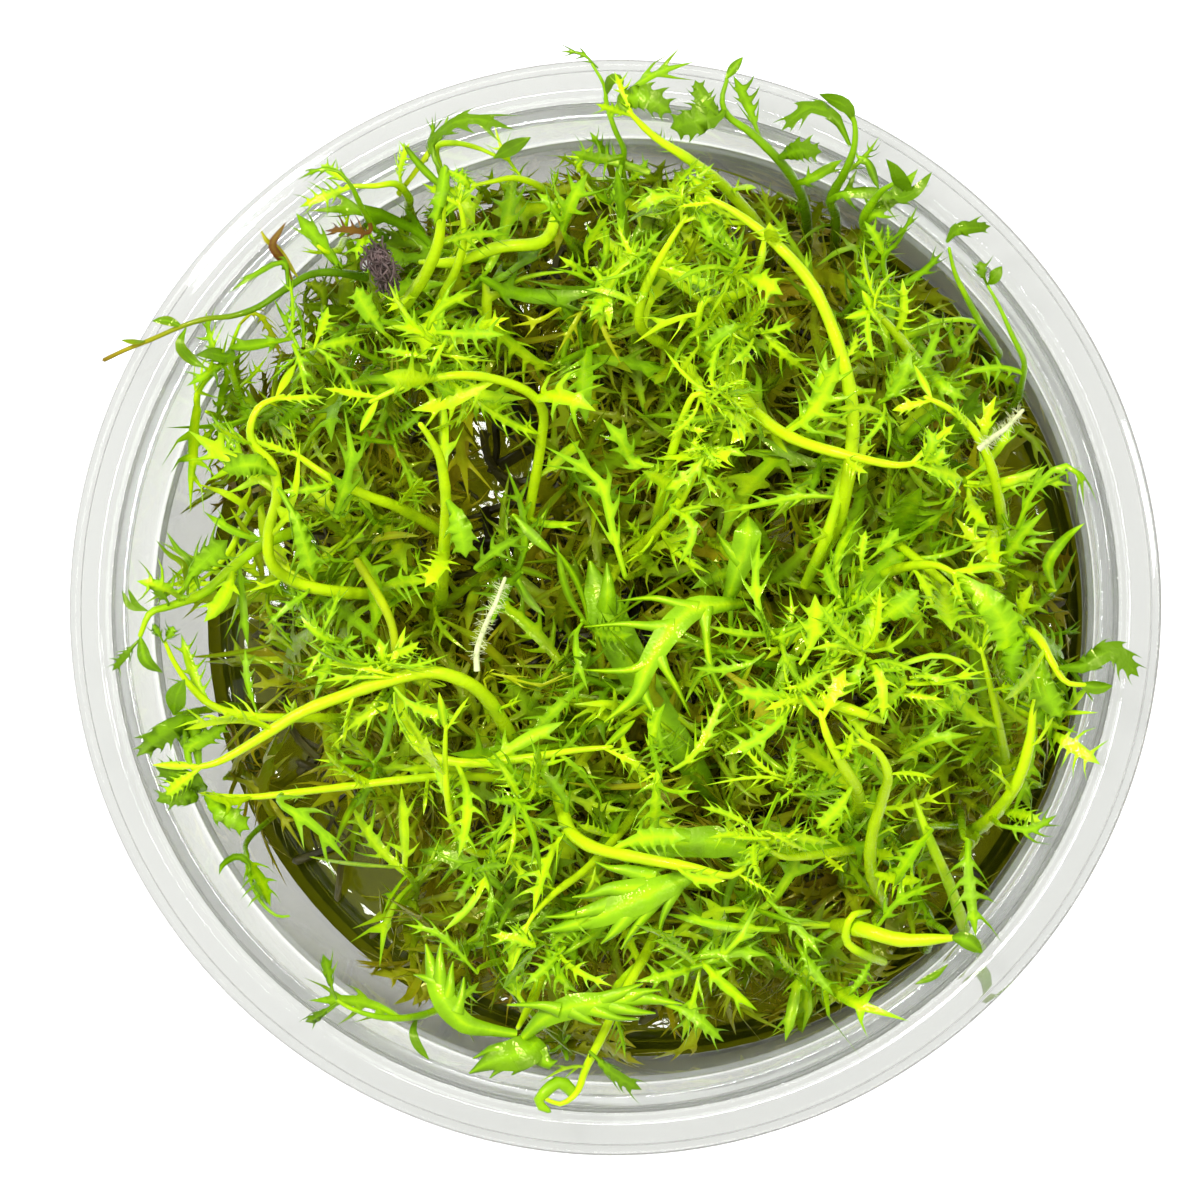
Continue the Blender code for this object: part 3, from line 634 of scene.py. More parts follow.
class LeafPattern:
    """A leaf's mesh laid flat: how far along, across and up each vertex is."""

    smooth_stations = (0.0, 0.1, 0.2, 0.3, 0.4, 0.5, 0.6, 0.7, 0.8, 0.88, 0.95)
    stalk_station = 0.55
    unevenness = 0.3
    vigour = (0.6, 1.12)
    sweeps = (0.5, 1.5)
    lifts = (-0.7, 1.0)
    least_lobe = 0.12
    root_out = 1.04
    root_thickness = 0.85
    lobe_thickness = 0.8

    def __init__(self, form: LeafForm, seed: int) -> None:
        """Lays out a leaf of that form, with some chance in each lobe.

        Args:
            form: Its outline.
            seed: What its chances start from.
        """
        self.chance = np.random.default_rng(seed)
        self.form = form
        self.lobes = max(0, form.lobes + int(self.chance.integers(-1, 2))) if form.lobes else 0
        self.vertices: list[tuple[float, float, float, float]] = []
        self.faces: Faces = []
        self.lay_out()
        self.u, self.v, self.w, self.rise = np.array(self.vertices).T

    def vertex(self, along: float, across: float, layer: float, rise: float = 0.0) -> int:
        """Adds a vertex: layer is 1 on the upper face, -1 on the lower and 0 on the margin."""
        self.vertices.append((along, across, layer, rise))
        return len(self.vertices) - 1

    def pair(self, along: float, across: float, layer: float, rise: float = 0.0) -> tuple[int, int]:
        """Adds a vertex on the upper face and the one below it."""
        return self.vertex(along, across, layer, rise), self.vertex(along, across, -layer, rise)

    def both(self, sign: float, *corners: tuple[int, int]) -> None:
        """Adds a face above and its mirror below, from (upper, lower) vertex pairs on that side."""
        ring = corners if sign > 0 else corners[::-1]
        self.faces += [tuple(upper for upper, _ in ring), tuple(lower for _, lower in reversed(ring))]

    def stations(self) -> list[tuple[float, bool]]:
        """Chooses places along the midrib.

        Returns:
            The places, each with whether lobes start there.
        """
        form = self.form
        if self.lobes == 0:
            return [(share, False) for share in self.smooth_stations]
        pitch = (form.last - form.first) / self.lobes
        found = [(0.0, False), (form.first * self.stalk_station, False)]
        for lobe in range(self.lobes):
            shift = self.chance.uniform(-self.unevenness, self.unevenness) * (1 - form.root)
            start = form.first + pitch * (lobe + shift)
            found += [(start, True), (start + pitch * form.root, False)]
        return found

    def width(self, along: float) -> float:
        """The blade's half width there."""
        return float(np.interp(along, *zip(*self.form.body)))

    def lay_out(self) -> None:
        """Adds every strip of the blade, and the lobes on both sides."""
        rows = []
        for along, lobed in self.stations():
            middle = self.pair(along, 0.0, 1.0)
            edges = [self.vertex(along, sign * self.width(along), 0.0) for sign in (1.0, -1.0)]
            rows.append((along, lobed, middle, [(edge, edge) for edge in edges]))
        self.faces.append((rows[0][2][0], rows[0][3][0][0], rows[0][2][1], rows[0][3][1][0]))
        for (along, lobed, middle, margins), (ahead, _, middle_ahead, margins_ahead) in zip(rows, rows[1:]):
            for side, sign in ((0, 1.0), (1, -1.0)):
                ring = [middle, middle_ahead, margins_ahead[side], margins[side]]
                if lobed and self.chance.uniform() > self.form.missing:
                    ring.insert(3, self.add_lobe(along, ahead, sign, margins[side], margins_ahead[side]))
                self.both(sign, *ring)
        tip = self.vertex(1.0, 0.0, 0.0)
        _, _, middle, margins = rows[-1]
        self.both(1.0, middle, (tip, tip), margins[0])
        self.both(1.0, margins[1], (tip, tip), middle)

    def add_lobe(self, start: float, end: float, sign: float, near: tuple[int, int],
                 far: tuple[int, int]) -> tuple[int, int]:
        """Adds one lobe on the margin, wide at its root and drawn out to a tip.

        Args:
            start: Where it starts along the leaf.
            end: Where it ends.
            sign: 1 on the one side and -1 on the other.
            near: The margin's vertices at its start.
            far: Those at its end.

        Returns:
            The vertices in the middle of its root.
        """
        form = self.form
        centre, half = (start + end) / 2, (end - start) / 2
        vigour = self.chance.uniform(*self.vigour)
        body = self.width(centre)
        reach = max(float(np.interp(centre, *zip(*form.reach))) * vigour, body + self.least_lobe)
        sweep = form.sweep * self.chance.uniform(*self.sweeps) * vigour
        lift = form.relief * self.chance.uniform(*self.lifts)
        root = self.pair(centre, sign * body * self.root_out, self.root_thickness)
        sections = [(near, root, far)]
        for share, slim in form.taper:
            along = centre + sweep * share ** 1.5
            out = sign * (body + (reach - body) * share)
            rise = lift * share ** 2
            low = self.vertex(along - half * slim, out, 0.0, rise)
            high = self.vertex(along + half * slim, out, 0.0, rise)
            middle = self.pair(along, out, self.lobe_thickness * (1.0 - share), rise)
            sections.append(((low, low), middle, (high, high)))
        for (low, middle, high), (low_on, middle_on, high_on) in zip(sections, sections[1:]):
            self.both(sign, low, middle, middle_on, low_on)
            self.both(sign, middle, high, high_on, middle_on)
        tip = self.vertex(centre + sweep, sign * reach, 0.0, lift)
        low, middle, high = sections[-1]
        self.both(sign, low, middle, (tip, tip))
        self.both(sign, middle, high, (tip, tip))
        return root


class LeafMaker:
    """Makes leaves of every kind from a few patterns each."""

    seed_step = 17
    route_steps = 10
    twist = 0.5
    # A leaf's half thickness, in metres and as a share of its width
    thickness = 0.07 * MM
    thickness_share = 0.035
    # How much deeper the green is at the foot, towards the margin, on the faces and towards the tip
    foot_depth = 0.12
    margin_depth = 0.3
    face_depth = -0.34
    tip_depth = 0.08
    margin_age = 0.12

    def __init__(self, seed: int, variants: int = 9) -> None:
        """Lays out that many patterns of each kind."""
        self.chance = np.random.default_rng(seed)
        self.patterns = {kind: [LeafPattern(form, seed + self.seed_step * number)
                                for number in range(variants)] for kind, form in FORMS.items()}

    def grow(self, mesh: Mesh, kind: Kind, route: Array, width: float, facing: Array,
             tone: float, age: float, fold: float = 0.35) -> None:
        """Adds one leaf to a mesh.

        Args:
            mesh: What it is added to.
            kind: The leaf's form.
            route: Points along its midrib in metres.
            width: Its whole width in metres.
            facing: Where its upper face is turned.
            tone: How deep its green is at its foot.
            age: How withered it is.
            fold: How far the halves are folded up, as a slope.
        """
        pattern = self.patterns[kind][self.chance.integers(len(self.patterns[kind]))]
        length = float(np.linalg.norm(np.diff(route, axis=0), axis=1).sum())
        path = Path(route, length / self.route_steps)
        stations = np.linspace(0.0, 1.0, len(path.points))
        inside = np.minimum(pattern.u, 1.0)

        def follow(values: Array) -> Array:
            """The path's values at the pattern's vertices."""
            return np.stack([np.interp(inside, stations, values[:, k]) for k in range(3)], axis=1)

        side = unit(follow(path.sides(facing)))
        forward = unit(follow(path.tangents))
        up = unit(np.cross(forward, side))
        twist = (self.chance.normal(0, self.twist) * inside)[:, None]
        side, up = side * np.cos(twist) + up * np.sin(twist), up * np.cos(twist) - side * np.sin(twist)
        half = width / 2
        out = np.abs(pattern.v)
        lift = (out * fold * (1.0 - 0.5 * out) + pattern.rise) * half
        lift = lift + pattern.w * (self.thickness + self.thickness_share * width)
        places = follow(path.points) + forward * ((pattern.u - inside) * path.length)[:, None]
        places = places + side * (pattern.v * half)[:, None] + up * lift[:, None]
        shade = tone + self.foot_depth + self.margin_depth * out
        shade = shade + self.face_depth * np.abs(pattern.w) + self.tip_depth * pattern.u
        mesh.add(CUP.rest_inside(places), pattern.faces, shade, age + self.margin_age * out)


def bent_route(foot: Array, way: Array, length: float, droop: float,
               curl: float = 0.0) -> Array:
    """Lays out a midrib that bends down and to one side on its way.

    Args:
        foot: Where it starts, in metres.
        way: The direction in which it starts.
        length: How long it is, in metres.
        droop: How far it bends down, as a share of that.
        curl: How far it bends to one side, likewise.

    Returns:
        Its points in metres.
    """
    shares = np.linspace(0.0, 1.0, 5)[:, None]
    bend = unit(np.cross(way, UP)) * curl - UP * droop
    return foot + (way * shares + bend * shares ** 2) * length


def add_strand(mesh: Mesh, points: Sequence[Array], step: float, radii: Sequence[float],
               sides: int) -> None:
    """Adds a thin strand through points in metres, with its ring step and its two end radii in mm."""
    path = Path(np.stack(points), step * MM)
    mesh.add(*tube(path, np.linspace(*radii, len(path.points)) * MM, sides))


@dataclass(frozen=True)
class Shoot:
    """A stem: its radius in mm, its foot, its route from there, and the leaves it has by rule."""

    name: str
    radius: float
    foot: tuple[int, int]
    route: Route
    leaves: int = 3
    start: float = 0.3
    tone: float = 0.0
    crown: int = 2
    taper: float = 0.86
    tip_age: float = 0.0


SHOOTS = (
    Shoot("long_arch_stem", 0.8, (798, 606), ((800, 590, 28), (815, 563, 38), (833, 533, 46),
        (846, 489, 52), (853, 430, 56), (849, 385, 58), (836, 338, 59), (812, 285, 60), (775, 243, 61),
        (735, 212, 61), (706, 197, 60.5)), 4, 0.25),
    Shoot("top_thick_stem", 0.7, (772, 262), ((764, 235, 38), (728, 190, 50), (690, 160, 56),
        (655, 137, 58), (628, 111, 59.5)), 2),
    Shoot("top_tip_sprig", 0.4, (640, 225), ((628, 196, 36), (622, 167, 48), (624, 150, 52), (615, 130, 54),
        (607, 105, 55), (604, 85, 55.5), (592, 64, 56)), 3, 0.3, 0.35, crown=0),
    Shoot("crown_left_stem", 0.65, (690, 388), ((672, 352, 40), (641, 328, 50), (644, 292, 54),
        (664, 252, 57), (686, 216, 58)), 3),
    Shoot("looped_stem", 0.55, (770, 312), ((750, 326, 36), (729, 333, 46), (723, 316, 50), (713, 300, 53),
        (702, 303, 54), (698, 328, 52), (700, 350, 49)), 3),
    Shoot("kinked_stem", 0.75, (726, 366), ((738, 374, 30), (741, 390, 46), (752, 408, 53), (775, 428, 57),
        (805, 443, 59.5), (851, 456, 61), (895, 465, 61), (920, 462, 60)), 3, 0.25),
    Shoot("hooked_stem", 0.65, (656, 575), ((652, 550, 30), (660, 505, 46), (670, 460, 54),
        (684, 415, 58.5), (695, 394, 60), (712, 398, 59)), 3, 0.25),
    Shoot("leaning_stem", 0.65, (600, 600), ((620, 568, 32), (640, 547, 42), (668, 518, 50), (688, 488, 54),
        (700, 462, 56)), 4, 0.25),
    Shoot("left_hook_stem", 0.7, (420, 592), ((396, 594, 36), (340, 592, 45), (297, 583, 48),
        (271, 563, 51), (269, 530, 53), (277, 495, 56), (272, 465, 58), (255, 447, 59), (250, 428, 60),
        (260, 406, 60), (284, 396, 59)), 4, 0.2),
    Shoot("left_long_stem", 0.7, (470, 562), ((440, 532, 36), (400, 508, 46), (368, 496, 50),
        (330, 478, 53), (293, 452, 54)), 4, 0.2),
    Shoot("left_rim_sprig", 0.7, (332, 520), ((296, 531, 42), (262, 545, 49), (232, 568, 51.5),
        (205, 592, 53), (170, 606, 55), (150, 613, 56), (140, 636, 56)), 3, 0.25, 0.2, crown=0),
    Shoot("left_rim_twin", 0.45, (276, 505), ((262, 500, 36), (243, 526, 45), (228, 553, 48),
        (208, 575, 50.5), (197, 581, 51.5)), 2),
    Shoot("left_cascade_stem", 0.55, (368, 722), ((335, 718, 40), (290, 718, 47), (250, 716, 49.5),
        (215, 707, 51.5), (192, 688, 53), (174, 662, 54.5), (165, 642, 55.5)), 2, 0.2, crown=0),
    Shoot("long_bow_stem", 0.8, (538, 792), ((524, 760, 36), (506, 728, 45), (488, 700, 50), (466, 682, 53),
        (430, 672, 55), (390, 680, 55.5), (345, 695, 56), (300, 713, 56.5), (252, 743, 56.5),
        (218, 762, 56.5), (192, 768, 56.5)), 3, 0.2),
    Shoot("hanging_hook_stem", 0.62, (402, 640), ((399, 664, 34), (400, 690, 44), (407, 728, 48),
        (426, 753, 50), (465, 763, 51), (520, 759, 52), (570, 751, 52), (612, 747, 51)), 6, 0.25),
    Shoot("lower_long_stem", 0.5, (565, 800), ((532, 786, 36), (500, 779, 43), (451, 776, 47),
        (400, 780, 49), (350, 786, 50.5), (300, 792, 51.5), (250, 797, 52), (208, 794, 53), (186, 786, 54)),
        4, 0.2),
    Shoot("low_u_stem", 0.5, (592, 806), ((557, 816, 36), (520, 836, 44), (490, 853, 46), (469, 849, 48),
        (455, 830, 50), (447, 795, 53), (445, 755, 55), (446, 724, 57)), 4, 0.2),
    Shoot("bottom_swoop_stem", 0.8, (552, 752), ((557, 785, 40), (562, 810, 48), (571, 832, 51.5),
        (595, 848, 54), (640, 858, 56), (690, 867, 57), (728, 876, 57), (744, 868, 56.5)), 3, 0.25),
    Shoot("bottom_bar_stem", 0.6, (908, 852), ((888, 848, 34), (852, 850, 43), (815, 855, 50),
        (785, 857, 54), (766, 848, 57)), 3),
    Shoot("right_stub_stem", 0.75, (893, 942), ((882, 905, 36), (871, 870, 44), (872, 835, 49),
        (882, 800, 53), (888, 775, 57), (878, 752, 59.5), (858, 740, 61)), 3),
    Shoot("front_thick_stem", 0.8, (853, 832), ((858, 815, 38), (857, 790, 54), (842, 764, 60),
        (828, 738, 62.5), (820, 712, 63)), 3, 0.4),
    Shoot("right_leaf_stem", 0.7, (905, 604), ((890, 592, 36), (882, 577, 45), (905, 567, 50),
        (935, 565, 53.5), (958, 575, 55)), 2, 0.25),
    Shoot("right_short_stem", 0.6, (872, 522), ((884, 532, 36), (903, 548, 43), (930, 570, 46),
        (955, 593, 48), (975, 622, 49)), 3, 0.25),
    Shoot("right_long_stem", 0.65, (1002, 602), ((999, 582, 34), (1004, 548, 43), (1000, 505, 49),
        (989, 460, 53.5), (971, 427, 56), (948, 408, 57.5), (925, 397, 58)), 4, 0.25),
    Shoot("upper_right_stem", 0.7, (926, 420), ((936, 392, 36), (923, 369, 46), (904, 344, 52),
        (886, 322, 56), (870, 308, 58.5)), 3, 0.3),
    Shoot("right_overhang_shoot", 0.65, (1000, 694), ((1002, 668, 36), (1008, 644, 46), (1025, 630, 52),
        (1040, 640, 55), (1052, 662, 56), (1066, 682, 57), (1085, 685, 57)), 3, 0.25, crown=0),
    Shoot("right_lower_stem", 0.8, (950, 852), ((975, 830, 38), (1000, 808, 46), (1019, 778, 50),
        (1030, 740, 52), (1033, 712, 53), (1038, 690, 53)), 3, 0.25),
    Shoot("right_inner_stem", 0.55, (1000, 790), ((1004, 768, 34), (1003, 745, 43), (995, 706, 48),
        (986, 668, 51), (981, 648, 52)), 3, 0.25),
    Shoot("bottom_loop_shoot", 0.6, (666, 906), ((658, 928, 36), (645, 955, 46), (620, 1000, 49),
        (601, 1038, 51), (586, 1068, 53), (577, 1092, 54.5), (561, 1104, 55), (546, 1099, 55.5)), 3, 0.2,
        crown=0),
    Shoot("bottom_left_stem", 0.55, (645, 790), ((635, 812, 36), (612, 842, 45), (585, 870, 48.5),
        (556, 892, 51), (535, 913, 53), (526, 928, 53.5)), 3, 0.25),
    Shoot("bottom_sprig", 0.65, (566, 945), ((548, 965, 36), (532, 1000, 47), (518, 1028, 53)), 3, 0.3,
        crown=0),
    Shoot("bottom_left_tip_shoot", 0.5, (480, 962), ((462, 986, 36), (436, 1010, 47), (404, 1018, 51.5),
        (374, 1016, 54), (350, 1008, 55), (337, 1000, 55.5)), 2, 0.2, 0.3, crown=0),
    Shoot("left_curl_sprig", 0.35, (266, 812), ((252, 835, 38), (247, 858, 45), (251, 880, 47),
        (262, 903, 48), (277, 916, 48.5), (289, 916, 49)), 1, 0.2, 0.4, crown=0),
    Shoot("top_left_arch_stem", 0.8, (412, 356), ((399, 330, 34), (405, 305, 45), (425, 275, 52),
        (438, 243, 55.5), (442, 208, 58), (444, 176, 59)), 2, 0.25, crown=0),
    Shoot("top_left_twin_stem", 0.6, (432, 335), ((430, 320, 34), (440, 300, 43), (455, 272, 48.5),
        (464, 240, 51.5), (462, 213, 53), (457, 200, 53.5)), 2, 0.25),
    Shoot("top_left_bud_shoot", 0.5, (452, 262), ((450, 215, 36), (440, 172, 47.5), (436, 148, 53),
        (455, 143, 55), (478, 148, 56), (496, 156, 56)), 2, 0.2, 0.15, crown=0),
    Shoot("top_left_bar_stem", 0.5, (566, 218), ((556, 203, 36), (541, 187, 45), (515, 178, 48),
        (490, 182, 49.5), (472, 186, 50)), 2, 0.3),
    Shoot("top_right_sprig", 0.6, (812, 272), ((806, 214, 38), (797, 176, 49), (775, 156, 54),
        (750, 132, 56), (729, 117, 57), (722, 100, 58), (727, 80, 58)), 2, 0.2, 0.45, crown=0),
    Shoot("right_top_curl", 0.6, (846, 270), ((836, 222, 38), (833, 195, 48), (845, 172, 54),
        (854, 148, 56), (855, 125, 57), (849, 108, 57.5)), 2, 0.2, 0.5, crown=0),
    Shoot("right_top_bud_shoot", 0.65, (880, 282), ((868, 243, 38), (868, 212, 49), (880, 193, 54),
        (893, 184, 56)), 2, 0.25, 0.3, crown=0),
    Shoot("right_top_wisp", 0.4, (906, 348), ((902, 330, 32), (895, 305, 44), (886, 278, 48),
        (884, 256, 50.5), (897, 243, 52), (906, 228, 54)), 5, 0.3, 0.4, crown=0),
    Shoot("right_rim_leaf_shoot", 0.45, (980, 388), ((996, 362, 38), (997, 343, 45), (982, 322, 49),
        (967, 298, 52), (955, 273, 54), (949, 248, 56)), 1, 0.3, 0.35, crown=0),
    Shoot("right_rim_thin_shoot", 0.4, (1000, 432), ((1014, 405, 38), (1023, 385, 48), (1024, 362, 53),
        (1012, 335, 55), (1000, 308, 56), (988, 286, 56.5)), 1, 0.3, 0.4, crown=0),
    Shoot("left_top_runner", 0.6, (392, 318), ((386, 288, 38), (348, 274, 49), (312, 274, 52),
        (284, 290, 54), (258, 307, 55), (232, 316, 56), (205, 319, 56.5), (180, 327, 56.5), (150, 340, 56),
        (125, 350, 55.5), (104, 360, 55)), 0, 0.15, 0.75, 0, 0.35, 0.8),
    Shoot("left_top_hanger", 0.45, (266, 424), ((248, 405, 36), (236, 385, 44), (230, 360, 48),
        (233, 338, 50.5), (240, 324, 51.5)), 4, 0.25, 0.2, crown=0),
    Shoot("left_top_tip_shoot", 0.4, (396, 250), ((386, 240, 38), (374, 228, 49), (362, 208, 55),
        (350, 184, 58.5), (336, 170, 59.5), (322, 167, 59.5)), 1, 0.2, 0.35, crown=0),
    Shoot("left_top_bar_stem", 0.55, (418, 240), ((412, 217, 36), (409, 198, 48), (396, 184, 53),
        (374, 186, 54.5), (346, 186, 54.5)), 2, 0.2, 0.1),
    Shoot("left_top_leaf_shoot", 0.55, (318, 300), ((350, 246, 40), (338, 250, 54), (327, 252, 58),
        (318, 246, 59)), 2, 0.3, 0.05, crown=0),
    Shoot("centre_arch_stem", 0.6, (512, 577), ((518, 555, 32), (527, 520, 40), (535, 480, 45),
        (541, 442, 48.5), (543, 412, 52), (528, 392, 55), (495, 379, 58), (460, 375, 60), (425, 380, 61),
        (395, 390, 61.5), (370, 402, 61.5)), 4, 0.2),
    Shoot("cut_centre_stem", 0.75, (436, 616), ((441, 600, 36), (443, 560, 46), (446, 505, 52),
        (441, 462, 56), (430, 438, 58.5), (420, 424, 60)), 2, 0.2, 0.0, 0),
)


@dataclass(frozen=True)
class Leaf:
    """A leaf that the photograph shows: its form, width in mm, route, green and age."""

    kind: Kind
    width: float
    route: Route
    tone: float
    age: float = 0.0


